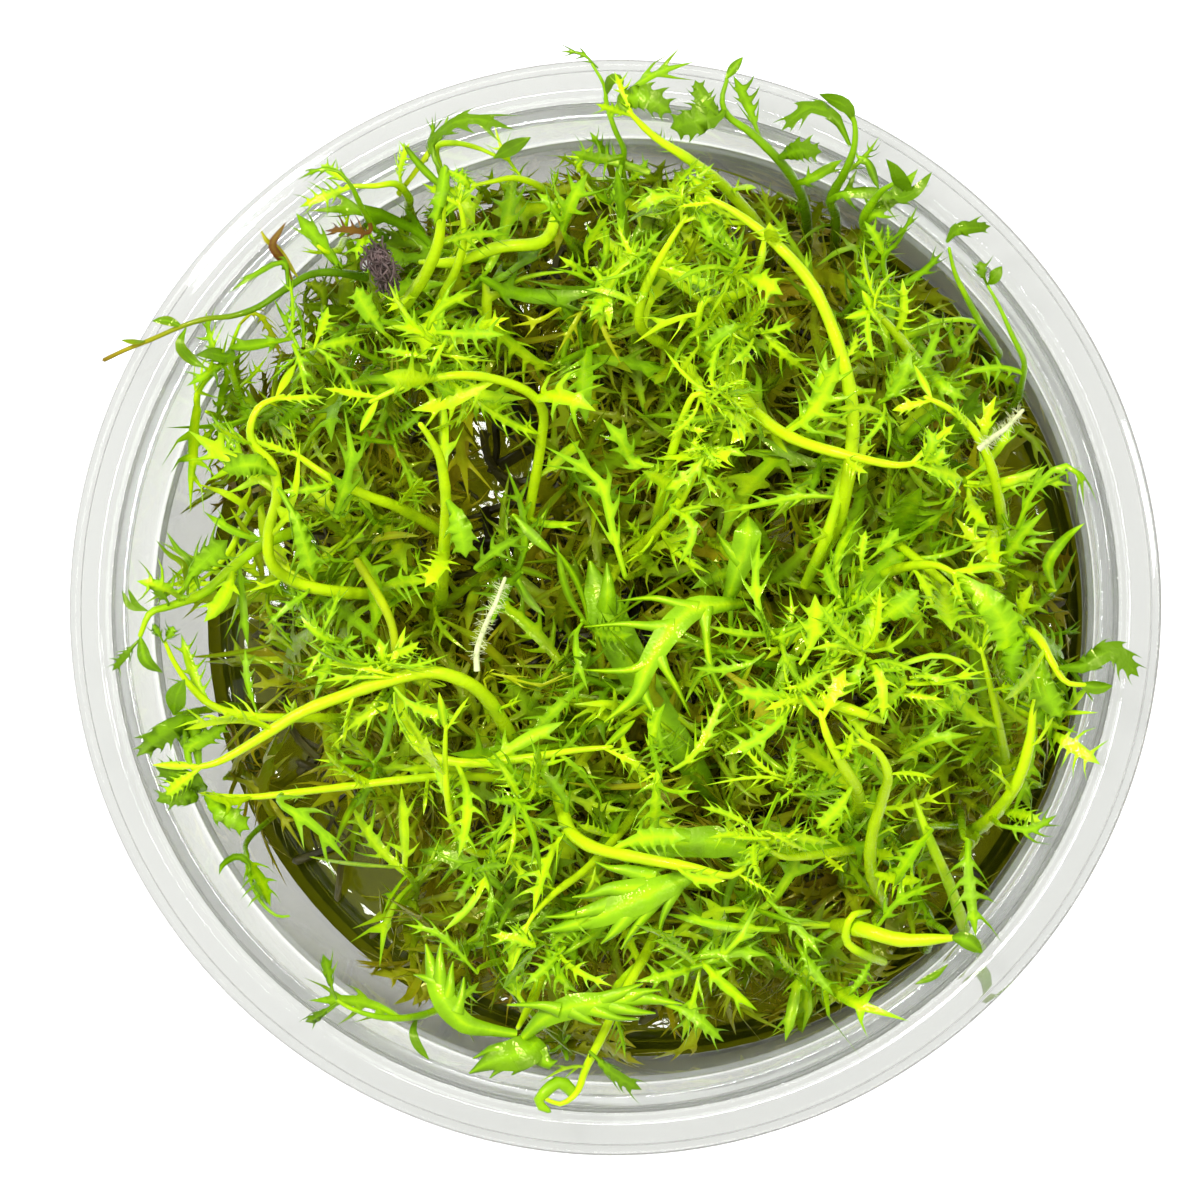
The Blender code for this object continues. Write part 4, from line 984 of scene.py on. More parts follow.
LEAVES = tuple(Leaf(*row) for row in (
    (FAN, 3.4, ((342, 272, 56), (325, 248, 58), (296, 213, 59)), 0.35),
    (COMB, 1.9, ((350, 184, 59), (336, 170, 60), (318, 170, 60), (297, 180, 59)), 0.45),
    (COMB, 4.2, ((370, 233, 52), (350, 230, 53), (324, 231, 52)), 0.3, 0.95),
    (BLADE, 0.8, ((283, 262, 54), (272, 246, 55), (278, 234, 55), (286, 222, 55)), 0.3, 0.9),
    (BLADE, 0.7, ((278, 250, 54), (266, 240, 55), (260, 228, 55)), 0.3, 0.5),
    (COMB, 3.6, ((283, 262, 55), (255, 275, 56), (228, 293, 56)), 0.5),
    (BLADE, 0.9, ((183, 327, 56.5), (168, 321, 57), (152, 321, 57)), 0.6, 0.1),
    (BLADE, 1.1, ((186, 328, 56.5), (180, 345, 57), (192, 360, 56), (206, 368, 56)), 0.6, 0.1),
    (BLADE, 0.6, ((146, 341, 56), (134, 342, 57), (121, 340, 57)), 0.6, 0.2),
    (BLADE, 1.5, ((228, 357, 51), (212, 354, 52), (196, 355, 52)), 0.6),
    (BROAD, 3.4, ((383, 332, 55), (368, 310, 56), (356, 286, 56)), 0.2),
    (COMB, 3.0, ((255, 312, 52), (270, 330, 50), (282, 360, 48)), 0.1, 0.45),
    (TOOTHED, 3.6, ((430, 148, 58), (446, 128, 60), (468, 119, 61), (490, 122, 61), (515, 130, 60)), 0.6),
    (TOOTHED, 1.7, ((430, 146, 58), (433, 132, 59), (432, 116, 59)), 0.5),
    (BLADE, 1.4, ((494, 158, 56), (511, 148, 57), (531, 137, 57)), 0.55),
    (BLADE, 0.8, ((433, 179, 55), (415, 160, 56), (403, 143, 57), (408, 150, 57)), 0.4),
    (BROAD, 2.2, ((446, 162, 59), (441, 195, 60), (434, 226, 59)), 0.3),
    (TOOTHED, 3.2, ((446, 170, 59), (462, 178, 60), (470, 190, 59)), 0.2),
    (COMB, 1.7, ((598, 68, 56), (582, 54, 56), (560, 51, 56)), 0.5),
    (BLADE, 1.0, ((606, 96, 55), (611, 80, 57), (621, 80, 57), (622, 92, 57)), 0.6),
    (BROAD, 3.6, ((618, 103, 59), (643, 97, 60), (672, 113, 59)), 0.5),
    (BROAD, 2.8, ((720, 116, 58), (705, 103, 59), (695, 80, 59)), 0.55),
    (BLADE, 0.9, ((725, 80, 58), (733, 69, 58), (743, 57, 58)), 0.5),
    (BROAD, 4.2, ((720, 116, 58), (700, 120, 59), (670, 128, 58)), 0.55),
    (BROAD, 2.5, ((850, 146, 56), (835, 118, 57), (810, 108, 57), (781, 131, 56)), 0.6),
    (BROAD, 3.0, ((778, 158, 54), (800, 150, 56), (822, 152, 56)), 0.6),
    (BLADE, 1.5, ((853, 122, 57), (846, 106, 58), (819, 94, 57)), 0.6),
    (BLADE, 0.9, ((856, 156, 56), (867, 162, 56), (879, 190, 54)), 0.4),
    (BLADE, 1.9, ((905, 192, 56), (898, 174, 58), (886, 159, 58)), 0.7),
    (BLADE, 1.1, ((898, 198, 56), (916, 191, 57), (932, 172, 57)), 0.65),
    (TOOTHED, 1.2, ((884, 246, 52), (905, 228, 54), (918, 205, 55)), 0.5),
    (BROAD, 2.5, ((947, 242, 56), (958, 229, 57), (991, 226, 57)), 0.6),
    (FAN, 2.4, ((987, 285, 56), (982, 272, 57), (980, 261, 57)), 0.6),
    (BLADE, 1.2, ((988, 284, 56), (995, 276, 57), (1002, 266, 57)), 0.6),
    (TOOTHED, 2.2, ((892, 288, 50), (920, 274, 52), (944, 251, 54)), 0.45),
    (TOOTHED, 3.0, ((622, 232, 50), (620, 200, 53), (616, 166, 55)), 0.4),
    (COMB, 6.6, ((563, 230, 50), (570, 206, 53), (588, 172, 55)), 0.25),
    (COMB, 4.5, ((563, 228, 50), (552, 206, 52), (536, 192, 52)), 0.3),
    (COMB, 4.0, ((612, 200, 50), (600, 196, 52), (590, 186, 53)), 0.3),
    (BLADE, 0.7, ((655, 174, 48), (610, 161, 48), (563, 156, 47)), 0.1),
    (PLUME, 4.0, ((588, 300, 45), (572, 328, 45), (556, 356, 44)), -0.2, 0.42),
    (PLUME, 4.0, ((594, 302, 45), (606, 335, 45), (622, 366, 44)), -0.2, 0.42),
    (PLUME, 4.0, ((560, 308, 45), (540, 320, 45), (512, 326, 44)), -0.2, 0.4),
    (BROAD, 3.6, ((276, 474, 58), (252, 464, 60), (222, 470, 60)), 0.3),
    (FAN, 4.6, ((281, 492, 58), (298, 525, 58), (312, 576, 56)), 0.25),
    (COMB, 4.6, ((334, 520, 50), (346, 484, 53), (352, 448, 55), (344, 407, 56)), 0.3),
    (FAN, 5.2, ((178, 600, 55), (196, 568, 56), (228, 540, 55)), 0.35),
    (BLADE, 0.7, ((190, 562, 55), (178, 550, 55), (166, 531, 55)), 0.55),
    (BLADE, 0.7, ((184, 566, 55), (168, 554, 55), (156, 540, 55)), 0.7, 0.2),
    (FAN, 2.3, ((168, 602, 56), (158, 590, 57), (148, 578, 57)), 0.55),
    (BLADE, 0.6, ((148, 611, 56), (130, 606, 56), (122, 590, 56)), 0.65),
    (BLADE, 0.6, ((148, 611, 56), (136, 604, 56), (128, 588, 56)), 0.65),
    (TOOTHED, 2.4, ((139, 640, 56), (126, 654, 56), (112, 671, 56)), 0.6),
    (BLADE, 1.3, ((140, 636, 56), (146, 660, 57), (163, 673, 56)), 0.5),
    (FAN, 2.2, ((163, 642, 56), (158, 632, 57), (152, 624, 57)), 0.45),
    (FAN, 2.2, ((164, 642, 56), (170, 634, 57), (174, 626, 57)), 0.5),
    (COMB, 4.4, ((240, 572, 50), (243, 604, 51), (248, 648, 50)), 0.35),
    (TOOTHED, 2.0, ((259, 718, 49), (248, 685, 50), (245, 648, 50)), 0.3),
    (COMB, 3.4, ((308, 592, 48), (290, 605, 49), (264, 628, 49)), 0.35),
    (BLADE, 2.2, ((174, 714, 57), (177, 697, 58), (185, 679, 58)), 0.6),
    (BROAD, 4.2, ((192, 724, 57), (166, 730, 58), (136, 757, 57)), 0.45),
    (BROAD, 2.6, ((183, 726, 57), (196, 722, 58), (207, 734, 58)), 0.5),
    (BROAD, 2.6, ((187, 750, 57), (208, 736, 58), (229, 722, 57)), 0.3),
    (BROAD, 3.6, ((203, 787, 55), (180, 776, 56), (155, 767, 56)), 0.55),
    (BROAD, 2.8, ((194, 796, 55), (172, 797, 56), (156, 801, 56)), 0.55),
    (BROAD, 3.2, ((208, 798, 54), (228, 816, 55), (250, 830, 54)), 0.35),
    (COMB, 2.8, ((395, 676, 56), (362, 668, 57), (326, 664, 57)), 0.0),
    (COMB, 2.6, ((392, 678, 56), (352, 677, 57), (316, 682, 57)), 0.05),
    (FAN, 2.2, ((384, 672, 55), (382, 656, 56), (379, 638, 56)), 0.1),
    (COMB, 5.0, ((625, 576, 48), (612, 528, 50), (602, 484, 51), (572, 460, 52), (544, 446, 52)), 0.15),
    (COMB, 4.6, ((475, 568, 50), (500, 547, 51), (527, 533, 51)), 0.35),
    (BLADE, 1.0, ((513, 515, 50), (535, 538, 50), (555, 555, 49)), 0.3),
    (BROAD, 3.6, ((447, 500, 53), (459, 522, 54), (466, 558, 53)), 0.3),
    (TOOTHED, 3.8, ((634, 462, 53), (622, 440, 55), (602, 418, 56)), 0.2),
    (COMB, 4.4, ((670, 508, 53), (690, 520, 54), (692, 540, 54), (678, 566, 53)), 0.15),
    (TOOTHED, 4.2, ((720, 668, 48), (748, 690, 48), (777, 735, 47)), 0.1, 0.55),
    (PLUME, 2.4, ((484, 673, 47), (528, 683, 47), (558, 688, 47), (586, 670, 47)), -0.1, 0.4),
    (COMB, 4.6, ((566, 802, 50), (548, 777, 51), (528, 760, 51)), 0.3),
    (COMB, 3.4, ((802, 496, 52), (762, 504, 53), (720, 513, 53)), 0.15),
    (TOOTHED, 3.2, ((922, 466, 60), (932, 446, 62), (928, 428, 62)), 0.1),
    (TOOTHED, 2.6, ((922, 462, 60), (938, 458, 62), (945, 444, 62)), 0.1),
    (COMB, 3.4, ((1015, 532, 50), (1030, 497, 53), (1055, 468, 55), (1078, 470, 55), (1084, 508, 52)),
     0.25),
    (COMB, 5.4, ((1003, 584, 48), (985, 552, 50), (955, 517, 50)), -0.1, 0.25),
    (COMB, 5.4, ((1004, 556, 49), (1025, 530, 52), (1048, 508, 53)), 0.2),
    (COMB, 3.6, ((1010, 548, 49), (1032, 541, 51), (1056, 542, 51)), 0.25),
    (BLADE, 1.1, ((1055, 590, 46), (1048, 564, 49), (1064, 540, 50), (1085, 524, 50)), 0.2),
    (BROAD, 5.0, ((956, 574, 55), (985, 598, 56), (1004, 625, 55), (1007, 658, 54)), 0.2),
    (TOOTHED, 2.8, ((862, 570, 53), (862, 552, 54), (866, 530, 54)), 0.1),
    (FAN, 2.6, ((866, 562, 53), (884, 546, 54), (899, 528, 54)), 0.15),
    (BROAD, 3.8, ((878, 622, 53), (897, 608, 54), (919, 590, 54)), 0.15),
    (BROAD, 3.2, ((874, 600, 53), (872, 625, 54), (862, 652, 53)), 0.1),
    (BROAD, 3.4, ((1060, 668, 57), (1085, 666, 59), (1112, 652, 59), (1139, 677, 58)), 0.6),
    (BLADE, 1.3, ((1078, 684, 57), (1096, 688, 57), (1113, 686, 57)), 0.5),
    (COMB, 3.2, ((858, 678, 57), (902, 665, 58), (933, 655, 58), (963, 662, 57), (986, 678, 56)), 0.05),
    (BROAD, 4.0, ((1044, 652, 55), (1044, 688, 55), (1062, 718, 54)), 0.35),
    (BROAD, 3.6, ((1022, 640, 54), (1012, 660, 55), (1015, 685, 54)), 0.4),
    (COMB, 5.4, ((279, 803, 54), (315, 825, 55), (349, 863, 54)), 0.25),
    (FAN, 2.6, ((333, 992, 56), (328, 974, 57), (323, 954, 57)), 0.55),
    (FAN, 2.8, ((336, 1003, 56), (320, 1014, 57), (305, 1022, 57)), 0.55),
    (BLADE, 0.7, ((249, 864, 48), (238, 856, 49), (228, 862, 49), (225, 874, 48)), 0.5),
    (TOOTHED, 1.9, ((253, 882, 48), (260, 892, 49), (268, 905, 48)), 0.7),
    (TOOTHED, 2.8, ((534, 945, 54), (515, 938, 55), (490, 935, 55)), 0.1),
    (COMB, 3.0, ((477, 973, 50), (440, 935, 52), (403, 924, 52)), 0.25),
    (TOOTHED, 3.8, ((664, 1004, 56), (690, 1014, 57), (724, 1042, 56)), 0.3),
    (FAN, 3.4, ((588, 1050, 53), (610, 1070, 54), (642, 1090, 54)), 0.5),
    (BLADE, 0.9, ((414, 1028, 50), (419, 1044, 50), (432, 1059, 49)), 0.6),
    (COMB, 4.8, ((778, 930, 50), (722, 926, 52), (662, 913, 52)), 0.2),
    (COMB, 4.4, ((768, 900, 48), (800, 930, 49), (822, 958, 49)), 0.25),
    (TOOTHED, 5.0, ((932, 830, 52), (916, 850, 54), (893, 888, 54)), 0.25),
    (COMB, 5.8, ((968, 840, 52), (969, 882, 53), (976, 938, 53)), 0.3),
    (COMB, 4.0, ((1002, 826, 52), (1030, 829, 53), (1057, 815, 53)), 0.35),
    (BLADE, 1.5, ((950, 938, 54), (966, 940, 55), (983, 953, 54)), 0.5),
    (COMB, 4.0, ((877, 927, 50), (902, 899, 52), (945, 881, 52)), 0.25),
    (BLADE, 0.7, ((948, 964, 50), (935, 975, 50), (915, 984, 50)), 0.6),
    (COMB, 5.0, ((798, 945, 47), (815, 972, 48), (834, 996, 48)), 0.3),
    (COMB, 4.0, ((872, 958, 48), (862, 978, 49), (848, 996, 49)), 0.3),
    (COMB, 4.2, ((960, 352, 50), (950, 330, 51), (953, 318, 52)), 0.4),
    (TOOTHED, 3.6, ((930, 372, 52), (945, 388, 54), (968, 400, 53)), 0.2),
    (TOOTHED, 3.6, ((808, 412, 57), (820, 385, 58), (826, 350, 58)), 0.2),
    (COMB, 4.0, ((952, 700, 50), (938, 722, 52), (915, 742, 52)), 0.25),
    (COMB, 4.6, ((905, 752, 52), (935, 738, 54), (970, 735, 53)), 0.2),
))


@dataclass(frozen=True)
class Twig:
    """A thin extra stem that the photograph shows: its radius in mm, route, green and age."""

    radius: float
    route: Route
    tone: float
    age: float = 0.0


TWIGS = (
    Twig(0.45, ((357, 561, 46), (380, 599, 50), (393, 630, 52), (395, 668, 55)), 0.15, 0.35),
    Twig(0.75, ((836, 925, 46), (864, 930, 52), (902, 940, 53), (953, 938, 54)), 0.0),
    Twig(0.42, ((884, 962, 46), (861, 953, 50), (846, 940, 51), (851, 917, 52), (870, 911, 50)), 0.1),
    Twig(0.6, ((575, 1095, 54), (560, 1082, 55), (545, 1092, 55.5), (538, 1103, 55.5),
               (549, 1111, 55.5)), 0.45),
    Twig(0.5, ((716, 300, 50), (745, 290, 53), (760, 262, 55), (764, 240, 55)), 0.05),
    Twig(0.55, ((805, 585, 44), (822, 548, 49), (836, 505, 51), (843, 470, 52)), 0.2),
    Twig(0.5, ((600, 235, 46), (632, 262, 49), (668, 275, 50), (700, 300, 49)), 0.05),
    Twig(0.6, ((560, 200, 44), (545, 240, 47), (500, 247, 49), (455, 262, 48), (420, 262, 46)), 0.0, 0.1),
    Twig(0.5, ((800, 700, 60), (830, 704, 61), (858, 712, 61), (884, 722, 59)), 0.0),
    Twig(0.6, ((985, 1000, 30), (955, 900, 44), (930, 840, 50), (915, 800, 51)), 0.2),
)


@dataclass(frozen=True)
class Tuft:
    """A tuft of small leaves: where it is, how many it has, their length in mm and their green."""

    where: Place
    leaves: int
    length: float
    tone: float


TUFTS = tuple(Tuft(*row) for row in (
    ((440, 345, 60), 8, 5.6, 0.05), ((683, 196, 60), 7, 4.0, 0.1), ((735, 272, 57), 8, 5.5, 0.25),
    ((806, 690, 61), 9, 5.0, 0.05), ((862, 660, 60), 8, 5.5, 0.1), ((762, 842, 58), 6, 4.6, 0.15),
    ((868, 308, 58), 6, 3.4, 0.1), ((714, 400, 59), 6, 4.0, 0.15), ((702, 452, 56), 6, 4.4, 0.15),
    ((386, 676, 56), 7, 5.0, 0.1), ((642, 262, 54), 7, 4.6, 0.2), ((752, 330, 52), 8, 5.0, 0.2),
    ((770, 640, 52), 6, 5.5, 0.2), ((900, 690, 57), 7, 5.0, 0.15), ((600, 270, 52), 7, 5.0, 0.15),
    ((470, 400, 54), 6, 5.0, 0.15), ((330, 640, 50), 6, 5.0, 0.3), ((520, 800, 52), 6, 5.0, 0.2),
    ((880, 400, 54), 7, 5.0, 0.2), ((960, 480, 50), 7, 5.5, 0.2), ((300, 350, 52), 7, 5.0, 0.25),
    ((560, 950, 52), 6, 5.0, 0.2), ((700, 960, 52), 7, 5.5, 0.25), ((840, 600, 50), 7, 5.5, 0.25),
    ((480, 870, 50), 7, 5.0, 0.3), ((660, 760, 52), 6, 5.0, 0.25), ((790, 780, 54), 7, 5.0, 0.2),
))


@dataclass(frozen=True)
class Stem:
    """A stem that leaves can grow from: the mesh that it is part of, its path and its green."""

    mesh: Mesh
    path: Path
    tone: float


class Garden:
    """All the plants: grows every piece from the same leaf maker and finish."""

    # Between nodes, in mm, and how much thinner stems are than their solids
    node_gap = 4.6
    stem_share = 0.84
    stem_sides = 10
    leaf_depth = 0.15
    tone_gain = 1.5
    # Tissue is older, and painted a deeper green as shade, below this height, in mm, and wholly so this far
    # below it
    fresh_unshaded_above = 44.0
    stem_age_shade_fade = 24.0
    leaf_age_shade_fade = 22.0
    # Where the young leaves at a shoot's end start, and the last of the leaves along it
    crown_start = 0.985
    last_leaf = 0.94
    shoot_lengths = (3.0, 8.0)
    crown_lengths = (3.0, 5.5)
    crown_widths = (0.55, 0.85)
    side_widths = (0.55, 0.9)
    blade_widths = (0.45, 0.9)
    tuft_widths = (0.5, 0.8)
    tuft_share = 1.3
    tuft_spread = 0.7
    # How far from a stem, in mm, a leaf or a tuft gets a stem of its own, and a leaf a longer foot
    leaf_gap = 4.0
    tuft_gap = 2.0
    foot_gap = 0.8
    support_radius = 0.42
    support_sides = 7
    twig_sides = 8

    def __init__(self, tissue: Material, seed: int = 11) -> None:
        """Starts with no plants.

        Args:
            tissue: The finish of every plant.
            seed: What the chances start from.
        """
        self.tissue = tissue
        self.leaves = LeafMaker(seed)
        self.chance = np.random.default_rng(seed)
        self.draw = self.chance.uniform
        self.meshes: dict[str, Mesh] = {}
        self.paths: dict[str, Path] = {}

    def upright(self, tilt: float) -> Array:
        """A direction near straight up."""
        return unit(np.array([self.chance.normal(0, tilt), self.chance.normal(0, tilt), 1.0]))

    def pick(self, *kinds: Kind) -> Kind:
        """One of some kinds, by chance."""
        return kinds[self.chance.integers(len(kinds))]

    def add_stem(self, mesh: Mesh, path: Path, radius: float, tone: float, age: object = 0.0,
                 sides: int = 10, taper: float = 0.86) -> None:
        """Adds a stem that is thinner at both ends, swollen at its nodes, and older and painted a deeper
        green as shade low down.

        Args:
            mesh: What it is added to.
            path: Its route.
            radius: Its radius in mm.
            tone: How deep its green is.
            age: How withered it is, all over or at each vertex.
            sides: How many sides it has.
            taper: The share of its length after which it thins.
        """
        share = np.linspace(0.0, 1.0, len(path.points))
        radii = radius * MM * (0.78 + 0.22 * np.sin(math.pi * np.minimum(1.0, 0.15 + share)))
        radii *= 1.0 - 0.5 * np.clip((share - taper) / (1.0 - taper), 0, 1)
        beat = share * path.length / (self.node_gap * MM) + radius * 7
        radii *= 1.0 + 0.1 * np.exp(-((beat % 1.0 - 0.5) / 0.09) ** 2)
        points, faces = tube(path, radii, sides)
        # Low down the stem is older, and painted a deeper green as the shade of the mass above
        low = np.clip((self.fresh_unshaded_above * MM - points[:, 2]) / (self.stem_age_shade_fade * MM), 0, 1)
        mesh.add(points, faces, tone + 0.6 * low, age + 0.5 * low)

    def add_shoot(self, shoot: Shoot) -> None:
        """Adds a shoot's stem, the leaves along it and the young leaves at its end.

        Args:
            shoot: The shoot.
        """
        mesh = self.meshes.setdefault(shoot.name, Mesh())
        route = VIEW.place(((*shoot.foot, CUP.root_height), *shoot.route))
        path = Path(CUP.keep_inside(route, shoot.radius), 0.7 * MM)
        self.paths[shoot.name] = path
        age = shoot.tip_age * np.linspace(0.0, 1.0, len(path.points)) ** 6
        ages = np.append(np.repeat(age, self.stem_sides), [0.0, age[-1]])
        self.add_stem(mesh, path, shoot.radius * self.stem_share, shoot.tone * self.tone_gain, ages,
                      self.stem_sides, shoot.taper)
        stem = Stem(mesh, path, shoot.tone)
        count = shoot.leaves * 2
        for number in range(count):
            share = shoot.start + (self.last_leaf - shoot.start) * (number + 0.5) / count
            kind = self.pick(COMB, COMB, PLUME, TOOTHED)
            self.add_side_leaf(stem, share, number, self.draw(*self.shoot_lengths), kind)
        for number in range(shoot.crown):
            self.add_crown_leaf(stem, number, shoot.crown)

    def add_crown_leaf(self, stem: Stem, number: int, count: int) -> None:
        """Adds one of the young leaves that a shoot ends in.

        Args:
            stem: The shoot's stem.
            number: Which of them it is.
            count: How many there are.
        """
        foot, along = stem.path.at(self.crown_start)
        out = frame_across(along, math.tau * number / count + self.draw(-0.4, 0.4))
        way = unit(along + out * self.draw(0.15, 0.9) + [0.0, 0.0, 0.15])
        length = self.draw(*self.crown_lengths) * MM
        kind = self.pick(COMB, TOOTHED, BLADE)
        width = 0.8 * MM if kind is BLADE else length * self.draw(*self.crown_widths)
        route = bent_route(foot, way, length, self.draw(0.0, 0.5))
        self.leaves.grow(stem.mesh, kind, route, width, self.upright(0.4),
                         stem.tone + self.draw(0.0, 0.3), 0.0, 0.3)

    def add_side_leaf(self, stem: Stem, share: float, number: int, length: float, kind: Kind) -> None:
        """Adds a leaf that leaves a stem at a slant, about a golden turn on from the one before.

        Args:
            stem: The stem.
            share: How far along the stem it grows.
            number: Which of the stem's leaves it is.
            length: About how long it is, in mm.
            kind: Its form.
        """
        foot, along = stem.path.at(share)
        out = frame_across(along, math.radians(GOLDEN_TURN * number) + self.draw(-0.6, 0.6))
        way = unit(out + along * self.draw(0.2, 1.1) + [0, 0, self.draw(-0.1, 0.5)])
        length *= MM * self.draw(0.75, 1.25)
        # Low down a leaf is older, and painted a deeper green as the shade of the mass above
        low = float(np.clip((self.fresh_unshaded_above * MM - foot[2]) / (self.leaf_age_shade_fade * MM), 0, 1))
        age = low * 0.6 + max(0.0, self.chance.normal(-0.1, 0.16))
        width = length * self.draw(*self.side_widths)
        if kind is BLADE:
            width = self.draw(*self.blade_widths) * MM
        route = bent_route(foot, way, length, self.draw(-0.3, 0.45), self.chance.normal(0, 0.4))
        self.leaves.grow(stem.mesh, kind, route, width, self.upright(0.5),
                         stem.tone + 0.12 + 0.4 * low + self.draw(-0.15, 0.3), age,
                         self.draw(0.0, 0.7))

    def owner(self, foot: Array) -> tuple[str, Array, float]:
        """Finds the shoot nearest to a place.

        Args:
            foot: The place.

        Returns:
            The shoot's name, its nearest point and the distance.
        """
        best = ("", foot, math.inf)
        for name, path in self.paths.items():
            gaps = np.linalg.norm(path.points - foot, axis=1)
            nearest = int(gaps.argmin())
            if gaps[nearest] < best[2]:
                best = (name, path.points[nearest], float(gaps[nearest]))
        return best

    def support(self, mesh: Mesh, foot: Array, tone: float) -> None:
        """Adds a thin stem that carries a place from the gel, hidden below it.

        Args:
            mesh: What it is added to.
            foot: The place.
            tone: How deep its green is.
        """
        down = np.array([foot[0] * 0.9, foot[1] * 0.9, CUP.gel_top * MM])
        middle = foot * 0.45 + down * 0.55 + np.append(self.chance.normal(0, 1.0 * MM, 2), 0.0)
        points = np.stack([down, middle, foot * [0.985, 0.985, 1.0] - [0, 0, 3 * MM], foot])
        path = Path(CUP.keep_inside(points, 0.5), 1.2 * MM)
        self.add_stem(mesh, path, self.support_radius, tone, sides=self.support_sides)

    def add_leaf(self, leaf: Leaf) -> None:
        """Adds a leaf, joined to the nearest shoot or to a stem of its own.

        Args:
            leaf: The leaf.
        """
        route = VIEW.place(leaf.route)
        name, near, gap = self.owner(route[0])
        mesh = self.meshes[name]
        if gap > self.leaf_gap * MM:
            self.support(mesh, route[0], leaf.tone)
        elif gap > self.foot_gap * MM:
            route = np.concatenate([[near], route])
        facing = self.upright(0.18)
        self.leaves.grow(mesh, leaf.kind, route, leaf.width * MM, facing,
                         leaf.tone * self.tone_gain + self.leaf_depth, leaf.age,
                         self.draw(0.1, 0.35))

    def add_tuft(self, tuft: Tuft) -> None:
        """Adds a tuft of small leaves round a place, joined as a placed leaf is.

        Args:
            tuft: The tuft.
        """
        centre = VIEW.place([tuft.where])[0]
        name, _, gap = self.owner(centre)
        mesh = self.meshes[name]
        if gap > self.tuft_gap * MM:
            self.support(mesh, centre, tuft.tone)
        for number in range(round(tuft.leaves * self.tuft_share)):
            turn = math.radians(GOLDEN_TURN * number) + self.draw(-0.5, 0.5)
            way = unit(np.array([math.cos(turn), math.sin(turn), self.draw(-0.2, 1.6)]))
            size = tuft.length * MM * self.draw(0.7, 1.5)
            kind = self.pick(COMB, TOOTHED, PLUME, COMB, COMB)
            width = size * self.draw(*self.tuft_widths)
            foot = centre + self.chance.normal(0, self.tuft_spread, 3) * MM
            route = bent_route(foot, way, size, self.draw(-0.1, 0.8), self.chance.normal(0, 0.45))
            self.leaves.grow(mesh, kind, route, width, self.upright(0.5),
                             tuft.tone + self.draw(-0.05, 0.4), 0.0, self.draw(0.1, 0.6))

    def add_twig(self, twig: Twig) -> None:
        """Adds a twig to the piece of the nearest shoot.

        Args:
            twig: The twig.
        """
        path = Path(VIEW.place(twig.route), 0.8 * MM)
        mesh = self.meshes[self.owner(path.points[0])[0]]
        self.add_stem(mesh, path, twig.radius, twig.tone, twig.age, self.twig_sides)

    def build(self) -> dict[str, Piece]:
        """Makes the shoots' pieces, by the CAD node that each stands for."""
        return {name: mesh.build(f"grown_{name}", self.tissue) for name, mesh in self.meshes.items()}


